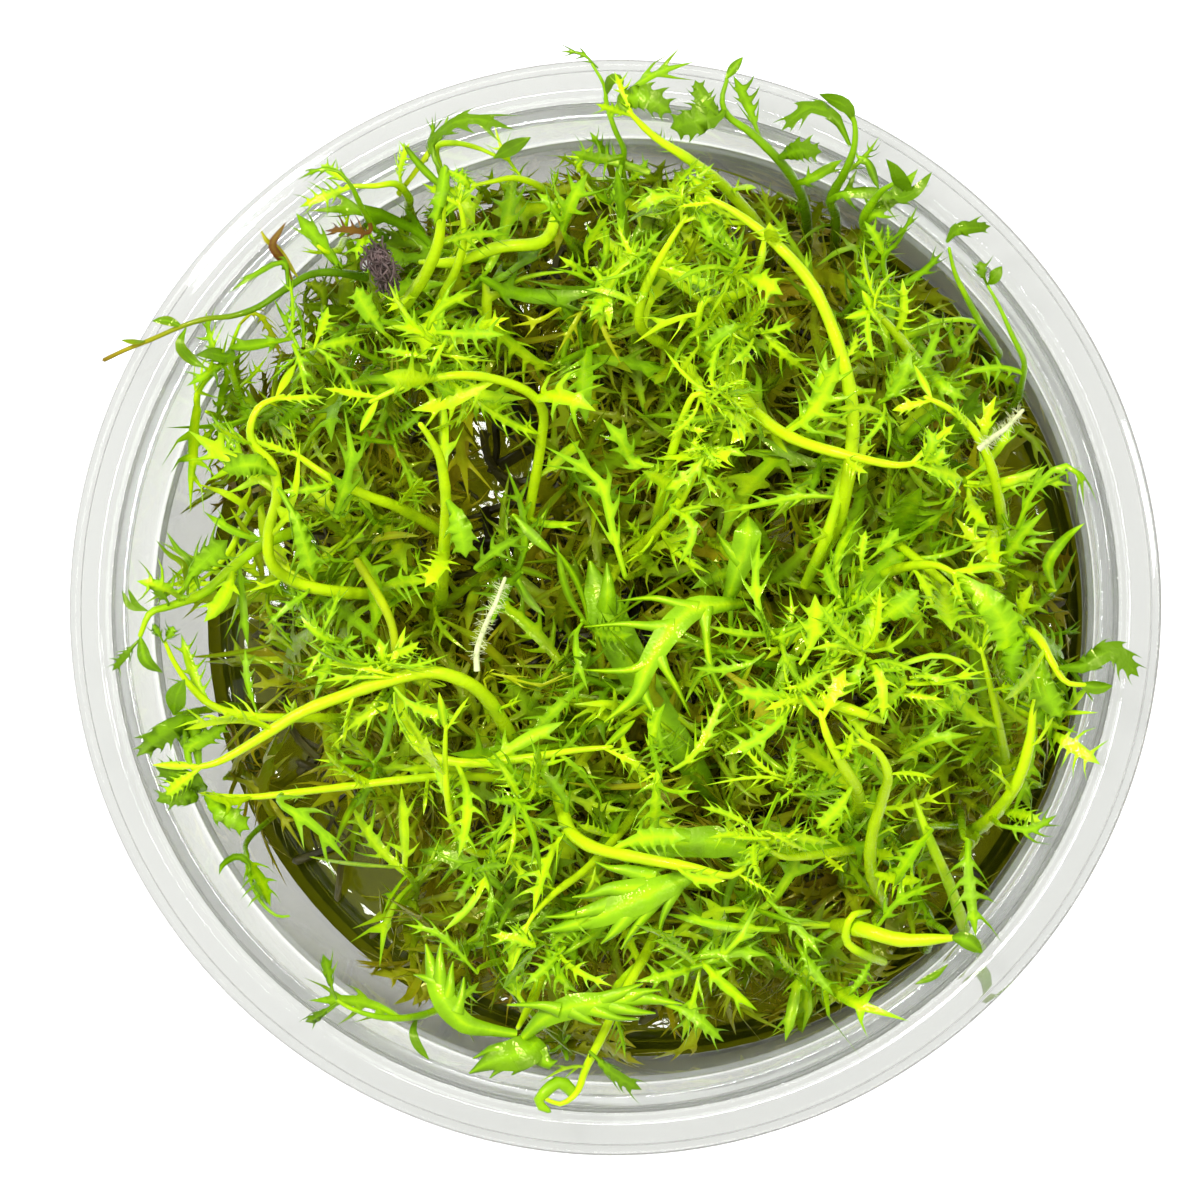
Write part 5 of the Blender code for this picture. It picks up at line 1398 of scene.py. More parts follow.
@dataclass(frozen=True)
class Thicket:
    """The small plantlets that fill the cup between the gel and the long shoots, with sizes in mm."""

    spacing: float = 5.3
    row_share: float = 0.866
    scatter: float = 1.1
    reach: float = 40.5
    lowest_tip: float = 27.0
    highest_tip: float = 46.0
    lean: float = 5.5
    leaf_step: float = 2.0
    leaf_lengths: Pair = (5.5, 10.5)
    stem_radii: Pair = (0.28, 0.5)
    tones: Pair = (-0.1, 0.6)
    # Bare places: across and down in the picture, and a radius in mm, as seen at this height
    bare_height: float = 34.0
    bare: tuple[Place, ...] = (
        (468, 432, 5.5), (300, 762, 4.8), (335, 862, 6.0), (262, 640, 3.4), (1040, 606, 3.6),
        (618, 312, 4.0), (735, 742, 3.2), (448, 918, 4.0), (355, 648, 2.6), (1040, 700, 3.0),
        (1052, 560, 3.0), (222, 600, 3.0), (222, 690, 3.4), (925, 315, 3.0), (700, 1040, 3.0),
        (555, 620, 2.2), (850, 590, 2.2), (700, 372, 2.4), (240, 560, 2.5), (390, 830, 3.0),
    )
    groups: int = 8
    seed: int = 5

    def bases(self, chance: np.random.Generator) -> list[Pair]:
        """Chooses the plantlets' feet, on an uneven grid that leaves out the bare places.

        Args:
            chance: What scatters them.

        Returns:
            The feet's places across the cup, in mm.
        """
        spots = VIEW.place([(across, down, self.bare_height) for across, down, _ in self.bare]) / MM
        found = []
        pitch = self.spacing * self.row_share
        rows = int(self.reach / pitch) + 1
        for row in range(-rows, rows + 1):
            for column in range(-rows, rows + 1):
                x = (column + 0.5 * (row % 2)) * self.spacing + chance.normal(0, self.scatter)
                y = row * pitch + chance.normal(0, self.scatter)
                if math.hypot(x, y) > self.reach:
                    continue
                gaps = [math.hypot(x - spot[0], y - spot[1]) - radius
                        for spot, (_, _, radius) in zip(spots, self.bare)]
                if min(gaps) > 0.0:
                    found.append((x, y))
        return found

    def grow(self, garden: Garden) -> list[Piece]:
        """Grows the plantlets into a few pieces, one to each slice of the cup.

        Args:
            garden: What grows their leaves.

        Returns:
            The pieces.
        """
        chance = np.random.default_rng(self.seed)
        slices = [Mesh() for _ in range(self.groups)]
        for x, y in self.bases(chance):
            part = int((math.atan2(y, x) + math.pi) / math.tau * self.groups) % self.groups
            self.grow_plantlet(garden, slices[part], (x, y), chance)
        return [mesh.build(f"plantlets_{number + 1}", garden.tissue) for number, mesh in enumerate(slices)]

    def grow_plantlet(self, garden: Garden, mesh: Mesh, foot: Pair,
                      chance: np.random.Generator) -> None:
        """Grows one plantlet: a thin leaning stem with slender leaves along its upper part.

        Args:
            garden: What grows its leaves.
            mesh: What it is added to.
            foot: Where its foot is across the cup, in mm.
            chance: What its sizes are drawn from.
        """
        top = chance.uniform(self.lowest_tip, self.highest_tip)
        lean = chance.normal(0, self.lean, 2)
        rise = np.array([0.0, 0.3, 0.65, 1.0])
        points = np.stack([foot[0] + lean[0] * rise ** 2, foot[1] + lean[1] * rise ** 2,
                           CUP.gel_top + (top - CUP.gel_top) * rise], axis=1) * MM
        points[1:3, :2] += chance.normal(0, 1.0 * MM, (2, 2))
        path = Path(CUP.keep_inside(points, 0.6), 1.4 * MM)
        tone = chance.uniform(*self.tones)
        garden.add_stem(mesh, path, chance.uniform(*self.stem_radii), tone, sides=6)
        stem = Stem(mesh, path, tone)
        leaves = int(path.length / (self.leaf_step * MM))
        kinds = (PLUME, PLUME, COMB, COMB, BLADE)
        for number in range(leaves):
            share = 0.3 + 0.7 * (number + 0.5) / leaves
            kind = kinds[chance.integers(len(kinds))]
            garden.add_side_leaf(stem, share, number, chance.uniform(*self.leaf_lengths), kind)


@dataclass(frozen=True)
class Strip:
    """One strip of a broad leaf: its route, and its width in mm at each point of the route."""

    route: Route
    widths: tuple[float, ...]


@dataclass(frozen=True)
class BroadLeaf:
    """A broad lobed leaf: the node that carries it, its green, and its strips from the midrib on."""

    node: str
    tone: float
    strips: tuple[Strip, ...]


BROAD_LEAVES = (
    BroadLeaf("broad_blade_leaf", 0.45, (
        Strip(((734, 826, 15.4), (716, 800, 30), (690, 762, 36), (655, 706, 39), (625, 652, 41),
            (603, 606, 42), (596, 585, 42), (590, 561, 42)), (0.9, 1.2, 2.6, 3.0, 3.5, 3.6, 2.2, 0.3)),
        Strip(((606, 612, 42), (608, 590, 43), (607, 563, 43)), (2.0, 1.4, 0.2)),
        Strip(((625, 652, 41), (606, 650, 41), (588, 640, 41)), (1.6, 1.0, 0.2)),
        Strip(((640, 680, 40), (622, 690, 40), (604, 688, 40)), (1.6, 1.0, 0.2)))),
    BroadLeaf("star_lobed_leaf", 0.28, (
        Strip(((756, 610, 15.4), (745, 604, 40), (735, 604, 46), (716, 605, 48), (693, 609, 49),
            (670, 630, 50), (648, 665, 50), (636, 695, 49.5), (605, 722, 48.5)),
            (0.7, 0.7, 1.0, 1.6, 2.2, 2.4, 1.8, 1.2, 0.2)),
        Strip(((696, 610, 49), (676, 603, 49.3), (652, 598, 49), (619, 601, 47)), (1.7, 0.8, 0.5, 0.15)),
        Strip(((674, 628, 50), (650, 626, 50), (622, 624, 50), (585, 627, 49)), (1.8, 0.85, 0.5, 0.15)),
        Strip(((652, 660, 50), (634, 669, 50), (612, 671, 50), (584, 670, 49)), (1.5, 0.7, 0.5, 0.15)),
        Strip(((656, 650, 50), (666, 670, 50), (678, 690, 49), (690, 715, 47)), (1.6, 0.75, 0.5, 0.15)),
        Strip(((704, 607, 48.5), (706, 630, 48.8), (712, 670, 48.3), (738, 722, 46)),
            (1.7, 0.75, 0.55, 0.15)),
        Strip(((641, 685, 49.5), (648, 702, 49.3), (656, 716, 49), (662, 732, 48)),
            (1.3, 0.65, 0.45, 0.15)))),
    BroadLeaf("star_lobed_leaf", 0.4, (
        Strip(((728, 598, 46), (736, 575, 48), (745, 550, 49), (748, 532, 49.5), (748, 518, 49)),
            (1.0, 1.8, 2.6, 2.5, 0.5)),
        Strip(((742, 560, 48.6), (728, 548, 48.8), (718, 534, 48)), (1.6, 0.9, 0.2)))),
    BroadLeaf("bottom_swoop_stem", 0.4, (
        Strip(((700, 872, 54), (672, 884, 55), (640, 898, 55.4), (604, 914, 55.4), (572, 925, 55),
            (543, 932, 54)), (0.7, 2.0, 3.0, 2.2, 1.2, 0.2)),
        Strip(((645, 888, 55.3), (610, 889, 55.6), (590, 895, 55.3), (574, 897, 54.5)),
            (2.0, 1.2, 0.6, 0.2)),
        Strip(((615, 903, 55.3), (585, 912, 55.6), (565, 916, 55.3), (547, 917, 54.5)),
            (1.8, 1.0, 0.5, 0.2)),
        Strip(((636, 905, 55.3), (620, 925, 55.4), (610, 936, 55), (602, 943, 54.5)), (2.0, 1.2, 0.6, 0.2)),
        Strip(((658, 895, 55), (645, 915, 55.2), (632, 932, 54.8), (622, 948, 54)), (1.8, 1.0, 0.6, 0.2)),
        Strip(((676, 886, 54.8), (668, 905, 54.9), (662, 920, 54.4), (659, 936, 53.5)),
            (1.6, 0.8, 0.5, 0.2)),
        Strip(((655, 878, 55), (625, 870, 55.4), (610, 868, 55.2), (596, 862, 54.5)),
            (1.9, 1.0, 0.5, 0.2)))),
    BroadLeaf("bottom_swoop_stem", 0.5, (
        Strip(((745, 848, 51.5), (715, 842, 52.3), (685, 843, 52.6), (655, 846, 52.6), (618, 842, 52)),
            (1.5, 3.0, 2.6, 1.6, 0.3)),
        Strip(((690, 838, 52.6), (664, 833, 52.8), (650, 832, 52.6), (634, 829, 52)), (1.6, 1.0, 0.6, 0.2)),
        Strip(((672, 850, 52.6), (650, 858, 52.6), (634, 860, 52), (618, 859, 51.5)),
            (1.6, 1.0, 0.6, 0.2)))),
    BroadLeaf("bottom_sprig", 0.4, (
        Strip(((524, 1037, 54), (545, 1018, 56), (575, 1006, 57), (605, 1002, 57), (640, 998, 57),
            (682, 1004, 56)), (0.8, 1.7, 2.3, 1.7, 1.3, 0.2)),
        Strip(((560, 1010, 57), (545, 1006, 57), (528, 1005, 56.6), (508, 1005, 56)), (1.4, 0.9, 0.5, 0.2)),
        Strip(((600, 1000, 57), (620, 993, 57.3), (632, 988, 57), (642, 984, 56.5)), (1.4, 1.0, 0.6, 0.2)),
        Strip(((622, 1000, 57), (638, 993, 57.3), (648, 991, 57), (660, 990, 56.5)), (1.4, 0.9, 0.5, 0.2)),
        Strip(((610, 1006, 57), (628, 1010, 57.3), (640, 1012, 57), (654, 1013, 56)), (1.4, 0.9, 0.6, 0.2)),
        Strip(((590, 1008, 57), (606, 1014, 57.2), (618, 1018, 57), (638, 1019, 56)), (1.4, 0.9, 0.6, 0.2)),
        Strip(((572, 1010, 57), (585, 1018, 57), (592, 1022, 56.5), (600, 1024, 56)),
            (1.5, 0.9, 0.5, 0.2)))),
    BroadLeaf("bottom_sprig", 0.45, (
        Strip(((516, 1034, 54), (492, 1030, 55), (466, 1024, 56), (448, 1006, 56.5), (436, 982, 56.5),
            (426, 944, 56)), (0.8, 1.1, 1.8, 2.3, 1.8, 0.2)),
        Strip(((440, 985, 56.5), (440, 970, 56.7), (440, 955, 56.5), (441, 944, 56)), (1.5, 1.0, 0.6, 0.2)),
        Strip(((446, 1000, 56.5), (450, 985, 56.7), (451, 972, 56.5), (453, 963, 56)),
            (1.5, 0.9, 0.5, 0.2)),
        Strip(((456, 1012, 56.5), (461, 998, 56.5), (463, 988, 56.3), (464, 978, 56)),
            (1.4, 0.7, 0.5, 0.2)),
        Strip(((440, 985, 56.5), (430, 980, 56.5), (423, 977, 56.3), (416, 975, 55.5)),
            (1.5, 0.9, 0.5, 0.2)))),
    BroadLeaf("bottom_sprig", 0.65, (
        Strip(((538, 1040, 53), (528, 1050, 54), (510, 1056, 54.5), (490, 1062, 54.5), (470, 1073, 54)),
            (1.8, 3.1, 2.9, 1.6, 0.2)),
        Strip(((505, 1050, 54.5), (492, 1050, 54.5), (484, 1053, 54), (474, 1058, 53.5)),
            (1.6, 1.0, 0.5, 0.2)),
        Strip(((512, 1058, 54.5), (503, 1066, 54.5), (497, 1071, 54), (491, 1077, 53.5)),
            (1.6, 0.9, 0.5, 0.2)),
        Strip(((530, 1058, 54), (524, 1066, 54), (518, 1070, 53.7), (513, 1074, 53.3)),
            (1.6, 0.8, 0.5, 0.2)),
        Strip(((538, 1052, 53.5), (545, 1062, 53.5), (550, 1064, 53.5), (556, 1061, 53)),
            (1.9, 1.4, 1.0, 0.2)))),
)


class BroadLeaves:
    """The broad lobed leaves, each made of strips that are widest where they join."""

    columns = (-1.0, -0.5, 0.0, 0.5, 1.0)
    # How much deeper the green is at each column
    bands = (0.3, 0.2, -0.1, 0.2, 0.3)
    step = 0.7 * MM
    half_thickness = 0.3 * MM
    edge_thinning = 0.8
    fold = 0.1

    def __init__(self, garden: Garden) -> None:
        """Takes the garden whose pieces the leaves are part of."""
        self.garden = garden

    def faces(self, count: int) -> Faces:
        """Joins up a strip's vertices, which run along each upper column and then along each lower one.

        Args:
            count: How many vertices a column has.

        Returns:
            The faces: both sides, both margins and both ends.
        """
        under = len(self.columns) * count
        last = under - count
        found: Faces = []
        for start in range(0, last, count):
            for a in range(start, start + count - 1):
                b = a + count
                found.append((a, a + 1, b + 1, b))
                found.append((a + under, b + under, b + under + 1, a + under + 1))
        for row in range(count - 1):
            found.append((row, row + under, row + under + 1, row + 1))
            found.append((last + row, last + row + 1, last + row + under + 1, last + row + under))
        for start in range(0, last, count):
            found.append((start, start + count, start + count + under, start + under))
        for start in range(count - 1, last + count - 1, count):
            found.append((start + under, start + count + under, start + count, start))
        return found

    def add_strip(self, mesh: Mesh, strip: Strip, tone: float) -> None:
        """Adds one long flat strip with a rounded cross-section.

        Args:
            mesh: What it is added to.
            strip: Its route and widths.
            tone: How deep its green is.
        """
        path = Path(VIEW.place(strip.route), self.step)
        count = len(path.points)
        half = np.interp(np.linspace(0.0, 1.0, count), path.knots, strip.widths) / 2 * MM
        side = path.sides(UP)
        up = unit(np.cross(path.tangents, side))
        points = []
        for layer in (1.0, -1.0):
            for column in self.columns:
                thick = self.half_thickness * (1 - column ** 2 * self.edge_thinning)
                lift = abs(column) * half * self.fold + layer * thick
                points.append(path.points + side * (half * column)[:, None] + up * lift[:, None])
        tones = np.repeat([tone + band for band in self.bands * 2], count)
        mesh.add(CUP.rest_inside(np.concatenate(points)), self.faces(count), tones)

    def build(self) -> None:
        """Adds every leaf to the piece of the node that carries it."""
        for leaf in BROAD_LEAVES:
            mesh = self.garden.meshes.setdefault(leaf.node, Mesh())
            for strip in leaf.strips:
                self.add_strip(mesh, strip, leaf.tone)


@dataclass(frozen=True)
class Roots:
    """The two white roots that stand up from the stems, with fine hairs, and sizes in mm."""

    routes: tuple[tuple[str, Route], ...] = (
        ("left_root", ((477, 671, 56.2), (477, 650, 56.5), (486, 624, 57), (497, 600, 57), (505, 578, 56.5))),
        ("right_root", ((979, 449, 58), (992, 438, 58.5), (1006, 428, 58.5), (1023, 410, 58))),
    )
    radius: float = 0.3
    taper: float = 0.45
    step: float = 0.5
    sides: int = 10
    hairs_per_mm: float = 26.0
    hair_lengths: Pair = (0.4, 1.1)
    hair_radii: Pair = (0.035, 0.012)
    hair_sides: int = 4
    seed: int = 3

    def build(self, finish: Material) -> dict[str, Piece]:
        """Makes the two roots.

        Args:
            finish: Their finish.

        Returns:
            The pieces, by the CAD node that each stands for.
        """
        chance = np.random.default_rng(self.seed)
        pieces = {}
        for name, route in self.routes:
            mesh = Mesh()
            path = Path(VIEW.place(route), self.step * MM)
            share = np.linspace(0.0, 1.0, len(path.points))
            mesh.add(*tube(path, self.radius * MM * (1.0 - self.taper * share), self.sides))
            for _ in range(int(path.length / MM * self.hairs_per_mm)):
                foot, along = path.at(chance.uniform(0.1, 0.95))
                out = unit(np.cross(along, chance.normal(0, 1, 3)))
                tip = foot + (out + along * chance.normal(0, 0.4)) * chance.uniform(*self.hair_lengths) * MM
                middle = (foot + tip) / 2 + chance.normal(0, 0.05 * MM, 3)
                add_strand(mesh, (foot, middle, tip), self.step, self.hair_radii, self.hair_sides)
            pieces[name] = mesh.build(f"hairy_{name}", finish)
        return pieces


@dataclass(frozen=True)
class WitheredTuft:
    """The withered tuft at the upper left, made of tangled fibres, with sizes in mm."""

    route: Route = ((372, 252, 53), (384, 268, 52.5), (388, 285, 51.5))
    fibres: int = 300
    lengths: Pair = (0.8, 2.2)
    radii: Pair = (0.04, 0.11)
    spread: float = 0.45
    bend: float = 0.3
    step: float = 0.7
    sides: int = 5
    seed: int = 8

    def build(self, finish: Material) -> Piece:
        """Makes the tuft.

        Args:
            finish: Its finish.

        Returns:
            The piece.
        """
        chance = np.random.default_rng(self.seed)
        path = Path(VIEW.place(self.route), 0.5 * MM)
        mesh = Mesh()
        for _ in range(self.fibres):
            centre, along = path.at(chance.uniform(0, 1))
            way = unit(along * 0.9 + chance.normal(0, 0.5, 3))
            length = chance.uniform(*self.lengths) * MM
            start = centre + chance.normal(0, self.spread, 3) * MM - way * length / 2
            bend = chance.normal(0, self.bend, 3) * MM
            points = (start, start + way * length / 2 + bend, start + way * length)
            add_strand(mesh, points, self.step, [chance.uniform(*self.radii)] * 2, self.sides)
        return mesh.build("withered_fibres", finish)


@dataclass(frozen=True)
class LitterAndShade:
    """Short brown roots that lie on the gel, laid thickly enough to paint the shade of the plants over it,
    with sizes in mm.
    """

    # This many lie thickly enough to darken the gel as painted shade under the plants
    roots: int = 1000
    reach: float = 37.0
    crowding: float = 0.65
    starts: Pair = (15.2, 17.5)
    heights: Pair = (15.2, 18.5)
    lengths: Pair = (2.5, 8.0)
    radii: Pair = (0.12, 0.5)
    step: float = 1.4
    sides: int = 5
    seed: int = 9

    def build(self, finish: Material) -> Piece:
        """Makes the litter.

        Args:
            finish: Its finish.

        Returns:
            The piece.
        """
        chance = np.random.default_rng(self.seed)
        mesh = Mesh()
        lowest, highest = self.heights
        for _ in range(self.roots):
            reach = self.reach * chance.uniform(0, 1) ** self.crowding
            turn = chance.uniform(0, math.tau)
            start = np.array([reach * math.cos(turn), reach * math.sin(turn), chance.uniform(*self.starts)])
            way = unit(chance.normal(0, 1, 3) * [1, 1, 0.12])
            length = chance.uniform(*self.lengths)
            middle = start + way * length / 2 + chance.normal(0, 0.5, 3) * [1, 1, 0.3]
            route = np.stack([start, middle, start + way * length]) * MM
            route[:, 2] = np.clip(route[:, 2], lowest * MM, highest * MM)
            points = CUP.keep_inside(route, 1.0)
            add_strand(mesh, points, self.step, [chance.uniform(*self.radii)] * 2, self.sides)
        return mesh.build("gel_litter_and_shade", finish)


@dataclass(frozen=True)
class Turned:
    """A body turned round the cup's axis."""

    # (radius, height) points in mm that start and end on the axis and run down the outer side
    profile: Profile
    sides: int
    # How far the body rises at a radius in mm and a turn in radians, if it isn't level
    wave: Callable[[float, float], float] | None = None
    crease: float = 50.0
    # The rim's painted shade tint sets in from this radius on, in mm
    rim_shade_radius: float = 45.4

    def build(self, name: str, finish: Material) -> Piece:
        """Makes the body.

        Args:
            name: The piece's name.
            finish: Its finish.

        Returns:
            The piece.
        """
        mesh = Mesh()
        sides = self.sides
        turns = np.linspace(0.0, math.tau, sides, endpoint=False)
        rings = self.profile[1:-1]
        points = [np.array([[0.0, 0.0, self.profile[end][1]]]) for end in (0, -1)]
        # How far each ring takes the rim's painted shade tint
        rim_shade = [min(1.0, max(0.0, radius - self.rim_shade_radius)) for radius, _ in rings]
        for radius, height in rings:
            level = np.full(sides, height)
            if self.wave:
                level = level + [self.wave(radius, turn) for turn in turns]
            points.append(np.stack([radius * np.cos(turns), radius * np.sin(turns), level], axis=1))
        faces: Faces = []
        last = 2 + (len(rings) - 1) * sides
        for side in range(sides):
            right = (side + 1) % sides
            faces.append((0, 2 + side, 2 + right))
            faces.append((1, last + right, last + side))
            for a in range(2, last, sides):
                faces.append((a + side, a + sides + side, a + sides + right, a + right))
        mesh.add(np.concatenate(points) * MM, faces, [0.0, 0.0, *np.repeat(rim_shade, sides)])
        return mesh.build(name, finish, self.crease)


def rounded(profile: Sequence[Place], steps: int = 3) -> list[Pair]:
    """Rounds off a profile's corners.

    Args:
        profile: Points of radius, height and about how far from its corner an arc starts, in mm.
        steps: How many lines an arc is made of.

    Returns:
        The rounded profile's (radius, height) points.
    """
    out: list[Pair] = []
    for index, (radius, height, bevel) in enumerate(profile):
        here = np.array([radius, height])
        if bevel <= 0 or index in (0, len(profile) - 1):
            out.append((radius, height))
            continue
        before = np.array(profile[index - 1][:2]) - here
        after = np.array(profile[index + 1][:2]) - here
        start = here + before * min(0.45, bevel / np.linalg.norm(before))
        end = here + after * min(0.45, bevel / np.linalg.norm(after))
        for share in np.linspace(0.0, 1.0, steps + 1):
            point = start * (1 - share) ** 2 + here * 2 * share * (1 - share) + end * share ** 2
            out.append((float(point[0]), float(point[1])))
    return out


@dataclass(frozen=True)
class CupBody:
    """The clear cup, with its step, lip bead, groove and flange, and how thin its upright wall is in mm."""

    sides: int = 192
    wall: float = 0.7
    ridge_start: float = 47.6
    ridge_end: float = 48.4

    def profile(self) -> list[Pair]:
        """Draws the cup's section.

        Returns:
            Its points from the middle of the inner floor over the lip to the underside's middle.
        """
        c = CUP
        flange_top = c.height - 0.3
        edge = flange_top - 0.2
        skirt_foot = c.height - c.skirt
        skirt_inner = c.flange_radius - c.flange_thickness
        return rounded((
            (0.0, c.floor, 0), (c.base_radius - c.wall, c.floor, 1.6),
            (c.corner_radius - c.wall, c.corner_height + c.floor, 1.4),
            (c.step_radius, c.step_height, 0.25), (c.step_radius + c.step_width, c.step_height + 0.6, 0.25),
            (c.lip_inner, c.height, 0.3), (c.lip_outer - 0.2, c.height, 0.3),
            (c.lip_outer + 0.2, c.height - c.groove, 0.25), (c.lip_outer + 1.0, flange_top, 0.3),
            (self.ridge_start, flange_top + 0.03, 0.4), (self.ridge_end, flange_top - 0.05, 0.4),
            (c.flange_radius, edge, 0.35), (c.flange_radius, skirt_foot, 0.15),
            (skirt_inner, skirt_foot, 0.15), (skirt_inner, edge - c.flange_thickness, 0.3),
            (c.lip_outer + 0.3, c.height - c.groove - c.flange_thickness, 0.3),
            (c.step_radius + c.step_width + self.wall, c.step_height + 0.4, 0.3),
            (c.step_radius + self.wall, c.step_height - 0.8, 0.3),
            (c.corner_radius - c.wall + self.wall, c.corner_height, 1.6), (c.base_radius, 0.0, 1.0),
            (0.0, 0.0, 0),
        ))

    def build(self, finish: Material) -> Piece:
        """Makes the cup."""
        return Turned(self.profile(), self.sides).build("clear_cup", finish)


@dataclass(frozen=True)
class GelBody:
    """The gel in the cup's foot, with an uneven top drawn up at the wall, and sizes in mm."""

    sides: int = 96
    wall_gap: float = 0.05
    floor_gap: float = 0.06
    level_radii: tuple[float, ...] = (0.0, 8.0, 16.0, 24.0, 31.0)
    wavy_radii: Pair = (7.0, 37.5)

    def profile(self) -> list[Pair]:
        """Draws the gel's section.

        Returns:
            Its points from the middle of the top out to the wall and down to the underside's middle.
        """
        c = CUP
        edge = c.inner_radius(c.gel_top + c.meniscus) - self.wall_gap
        low = c.corner_height + c.floor
        foot = c.floor + self.floor_gap
        return [*((radius, c.gel_top) for radius in self.level_radii),
                (edge - 4.0, c.gel_top), (edge - 2.0, c.gel_top + 0.15), (edge - 0.8, c.gel_top + 0.5),
                (edge, c.gel_top + c.meniscus), (c.inner_radius(low + 4.0) - self.wall_gap, low + 4.0),
                (c.corner_radius - c.wall - 0.1, low + 0.3), (c.base_radius - c.wall - 0.1, foot),
                (0.0, foot)]

    def wave(self, radius: float, turn: float) -> float:
        """Works out how far the top swells.

        Args:
            radius: A distance from the axis, in mm.
            turn: A turn round the axis, in radians.

        Returns:
            How far it swells there, in mm.
        """
        inner, outer = self.wavy_radii
        if radius < inner or radius > outer:
            return 0.0
        return 0.25 * math.sin(3 * turn + radius * 0.7) + 0.15 * math.sin(7 * turn - radius * 0.45)

    def build(self, finish: Material) -> Piece:
        """Makes the gel."""
        return Turned(self.profile(), self.sides, self.wave).build("gel_layer", finish)


@dataclass(frozen=True)
class Lamp:
    """A square lamp: its place and side in metres, and its power in watts."""

    name: str
    place: Place
    size: float
    power: float


@dataclass(frozen=True)
class Studio:
    """A softly lit white table under a bright soft sky, with small soft lamps that give glints."""

    zenith: float = 1.0
    horizon: float = 0.4
    bright_from: float = 0.75
    floor_white: float = 0.15
    floor_glow: float = 1.15
    floor_height: float = -0.0002
    reflections: int = 10
    aim: Place = (0.0, 0.0, 0.03)
    lamps: tuple[Lamp, ...] = (
        Lamp("key_lamp", (-0.22, 0.2, 0.55), 0.08, 2.1),
        Lamp("top_lamp", (-0.063, 0.04, 0.5), 0.06, 0.5),
        Lamp("fill_lamp", (0.25, 0.08, 0.55), 0.08, 1.2),
    )

    def build(self) -> None:
        """Makes the floor, the sky and the lamps, and sets plain colours."""
        scene = bpy.context.scene
        scene.view_settings.view_transform = "Standard"
        scene.cycles.glossy_bounces = self.reflections
        scene.cycles.max_bounces = self.reflections + 4
        floor = Mesh()
        corners = ((-1, -1), (1, -1), (1, 1), (-1, 1))
        floor.add(np.array([(x, y, self.floor_height) for x, y in corners]), [(0, 1, 2, 3)])
        paper = Finish("lit_white_table")
        paper.shade(Base_Color=(self.floor_white,) * 3, Roughness=0.8, Emission_Color=(1.0, 1.0, 1.0),
                    Emission_Strength=self.floor_glow)
        paper.material.cycles.emission_sampling = "NONE"
        floor.build("table", paper.material)
        self.add_sky()
        for lamp in self.lamps:
            self.add_lamp(lamp)
        VIEW.add_camera()

    def add_sky(self) -> None:
        """Adds a sky that is brightest straight up."""
        world = bpy.data.worlds.new("sky")
        bpy.context.scene.world = world
        world.use_nodes = True
        sky = Nodes(world.node_tree)
        background = sky.tree.nodes["Background"]
        height = sky.node("SeparateXYZ", 2, Vector=sky.node("TexCoord", "Generated"))
        level = height.maths("MAXIMUM", 0.0).between(0.0, self.bright_from)
        sky.connect(background.inputs["Color"], (1.0, 1.0, 1.0))
        sky.connect(background.inputs["Strength"], level * (self.zenith - self.horizon) + self.horizon)

    def add_lamp(self, lamp: Lamp) -> None:
        """Adds a lamp that faces the cup.

        Args:
            lamp: The lamp.
        """
        data = bpy.data.lights.new(lamp.name, "AREA")
        data.size = lamp.size
        data.energy = lamp.power
        made = bpy.data.objects.new(lamp.name, data)
        bpy.context.scene.collection.objects.link(made)
        made.location = lamp.place
        way = Vector(self.aim) - Vector(lamp.place)
        made.rotation_euler = way.to_track_quat("-Z", "Y").to_euler()


def place_piece(piece: Piece, slot: str, *nodes: str) -> None:
    """Ties a piece to the frame and reports it.

    Args:
        piece: The piece.
        slot: The name of its finish's slot, which is not used.
        *nodes: The CAD nodes that it stands for.
    """
    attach(piece, "root")
    if nodes:
        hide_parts(*nodes)
    LOG.info("%s: %d faces", piece.name, len(piece.data.polygons))


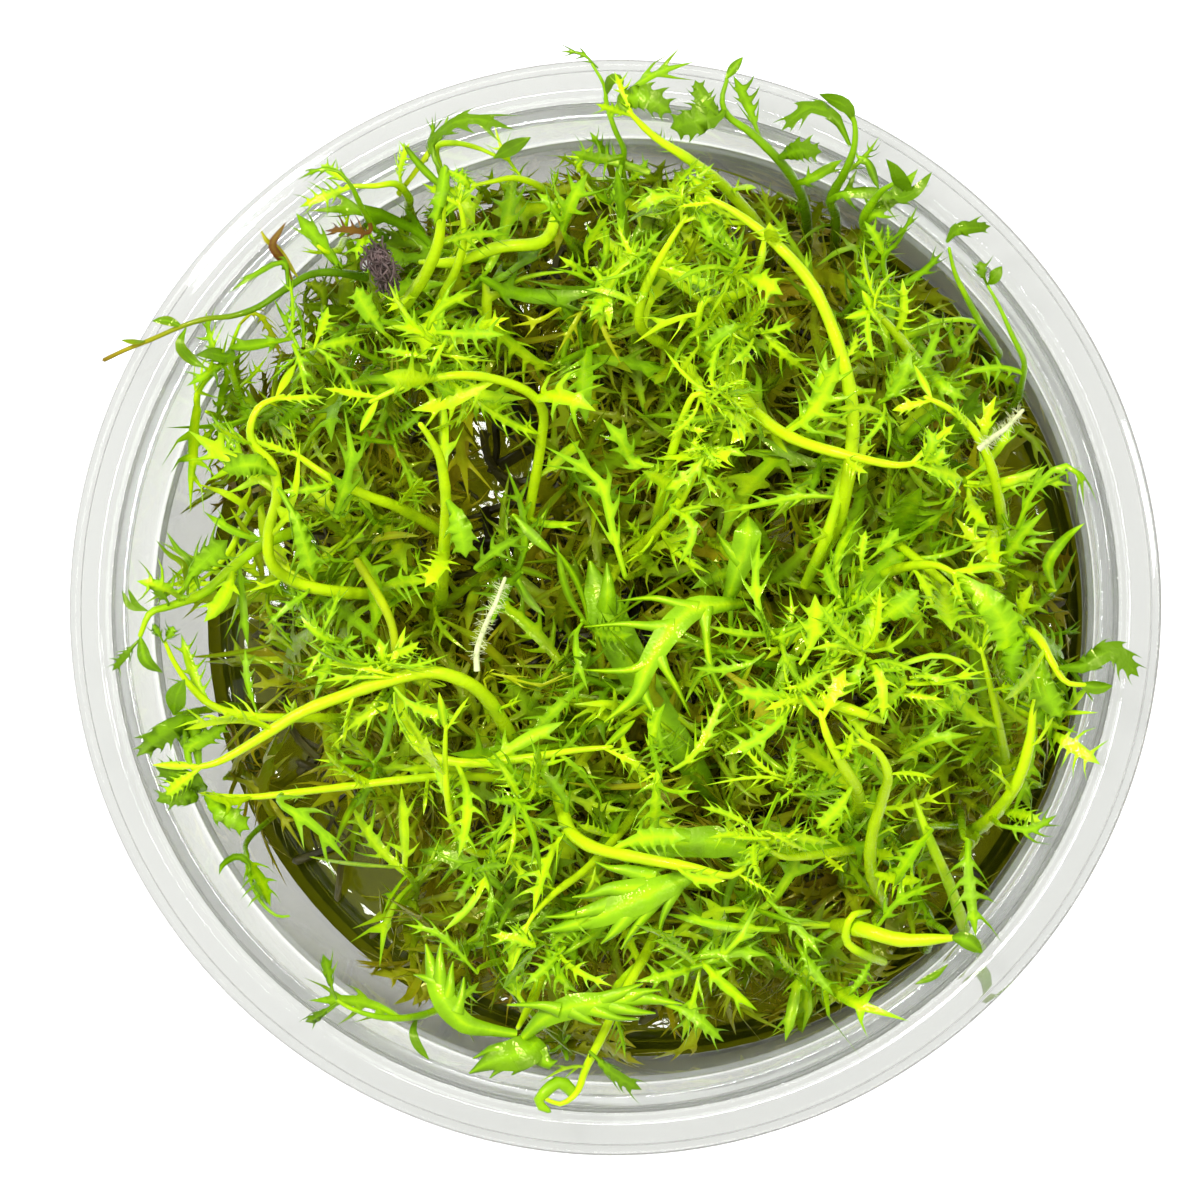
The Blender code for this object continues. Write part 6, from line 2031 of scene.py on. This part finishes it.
def main() -> None:
    """Builds every piece in order, then the studio round them."""
    logging.basicConfig(level=logging.INFO, format="%(message)s")
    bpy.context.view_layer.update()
    tissue = TissueFinish().make()
    # The plastic's rim and flange get a darker tint as painted shade
    plastic = ClearFinish("clear_plastic", 1.35, 0.04, (0.95, 0.95, 0.93), (0.5, 0.8, 0.75), 8.0, 0.85,
                          rim_shade_tint=(0.605, 0.61, 0.585)).make()
    gel = ClearFinish("amber_gel", 1.34, 0.02, (0.3, 0.36, 0.015), (0.672, 0.62, 0.147), 220.0, 0.82,
                      ripple=0.4).make()
    root_white = DullFinish("root_white", (0.66, 0.7, 0.36), (0.5, 0.55, 0.26), 0.6).make()
    withered = DullFinish("withered_brown", (0.04, 0.024, 0.022), (0.14, 0.09, 0.085), 0.6).make()
    # Dark brown for the roots on the gel, laid thickly as painted shade
    litter_and_shade = DullFinish("litter_and_shade_brown", (0.03, 0.024, 0.004), (0.13, 0.12, 0.015), 0.4, 250.0).make()

    place_piece(CupBody().build(plastic), "cup_plastic", "culture_cup")
    place_piece(GelBody().build(gel), "nutrient_gel", "nutrient_gel")
    garden = Garden(tissue)
    for add, things in ((garden.add_shoot, SHOOTS), (garden.add_leaf, LEAVES), (garden.add_tuft, TUFTS),
                        (garden.add_twig, TWIGS)):
        for thing in things:
            add(thing)
    BroadLeaves(garden).build()
    for node, piece in garden.build().items():
        place_piece(piece, "green_leaf" if node.endswith("_leaf") else "lime_stem", node)
    for piece in Thicket().grow(garden):
        place_piece(piece, "green_leaf")
    for node, piece in Roots().build(root_white).items():
        place_piece(piece, "white_root", node)
    place_piece(WitheredTuft().build(withered), "withered_tissue", "withered_tuft")
    place_piece(LitterAndShade().build(litter_and_shade), "withered_tissue")
    Studio().build()


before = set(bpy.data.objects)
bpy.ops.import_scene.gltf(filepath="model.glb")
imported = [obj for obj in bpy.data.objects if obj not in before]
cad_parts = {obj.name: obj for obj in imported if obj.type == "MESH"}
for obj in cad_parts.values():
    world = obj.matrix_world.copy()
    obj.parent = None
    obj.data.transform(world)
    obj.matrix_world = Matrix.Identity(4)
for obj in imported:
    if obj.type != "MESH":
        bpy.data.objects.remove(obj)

if __name__ == "__main__":
    main()
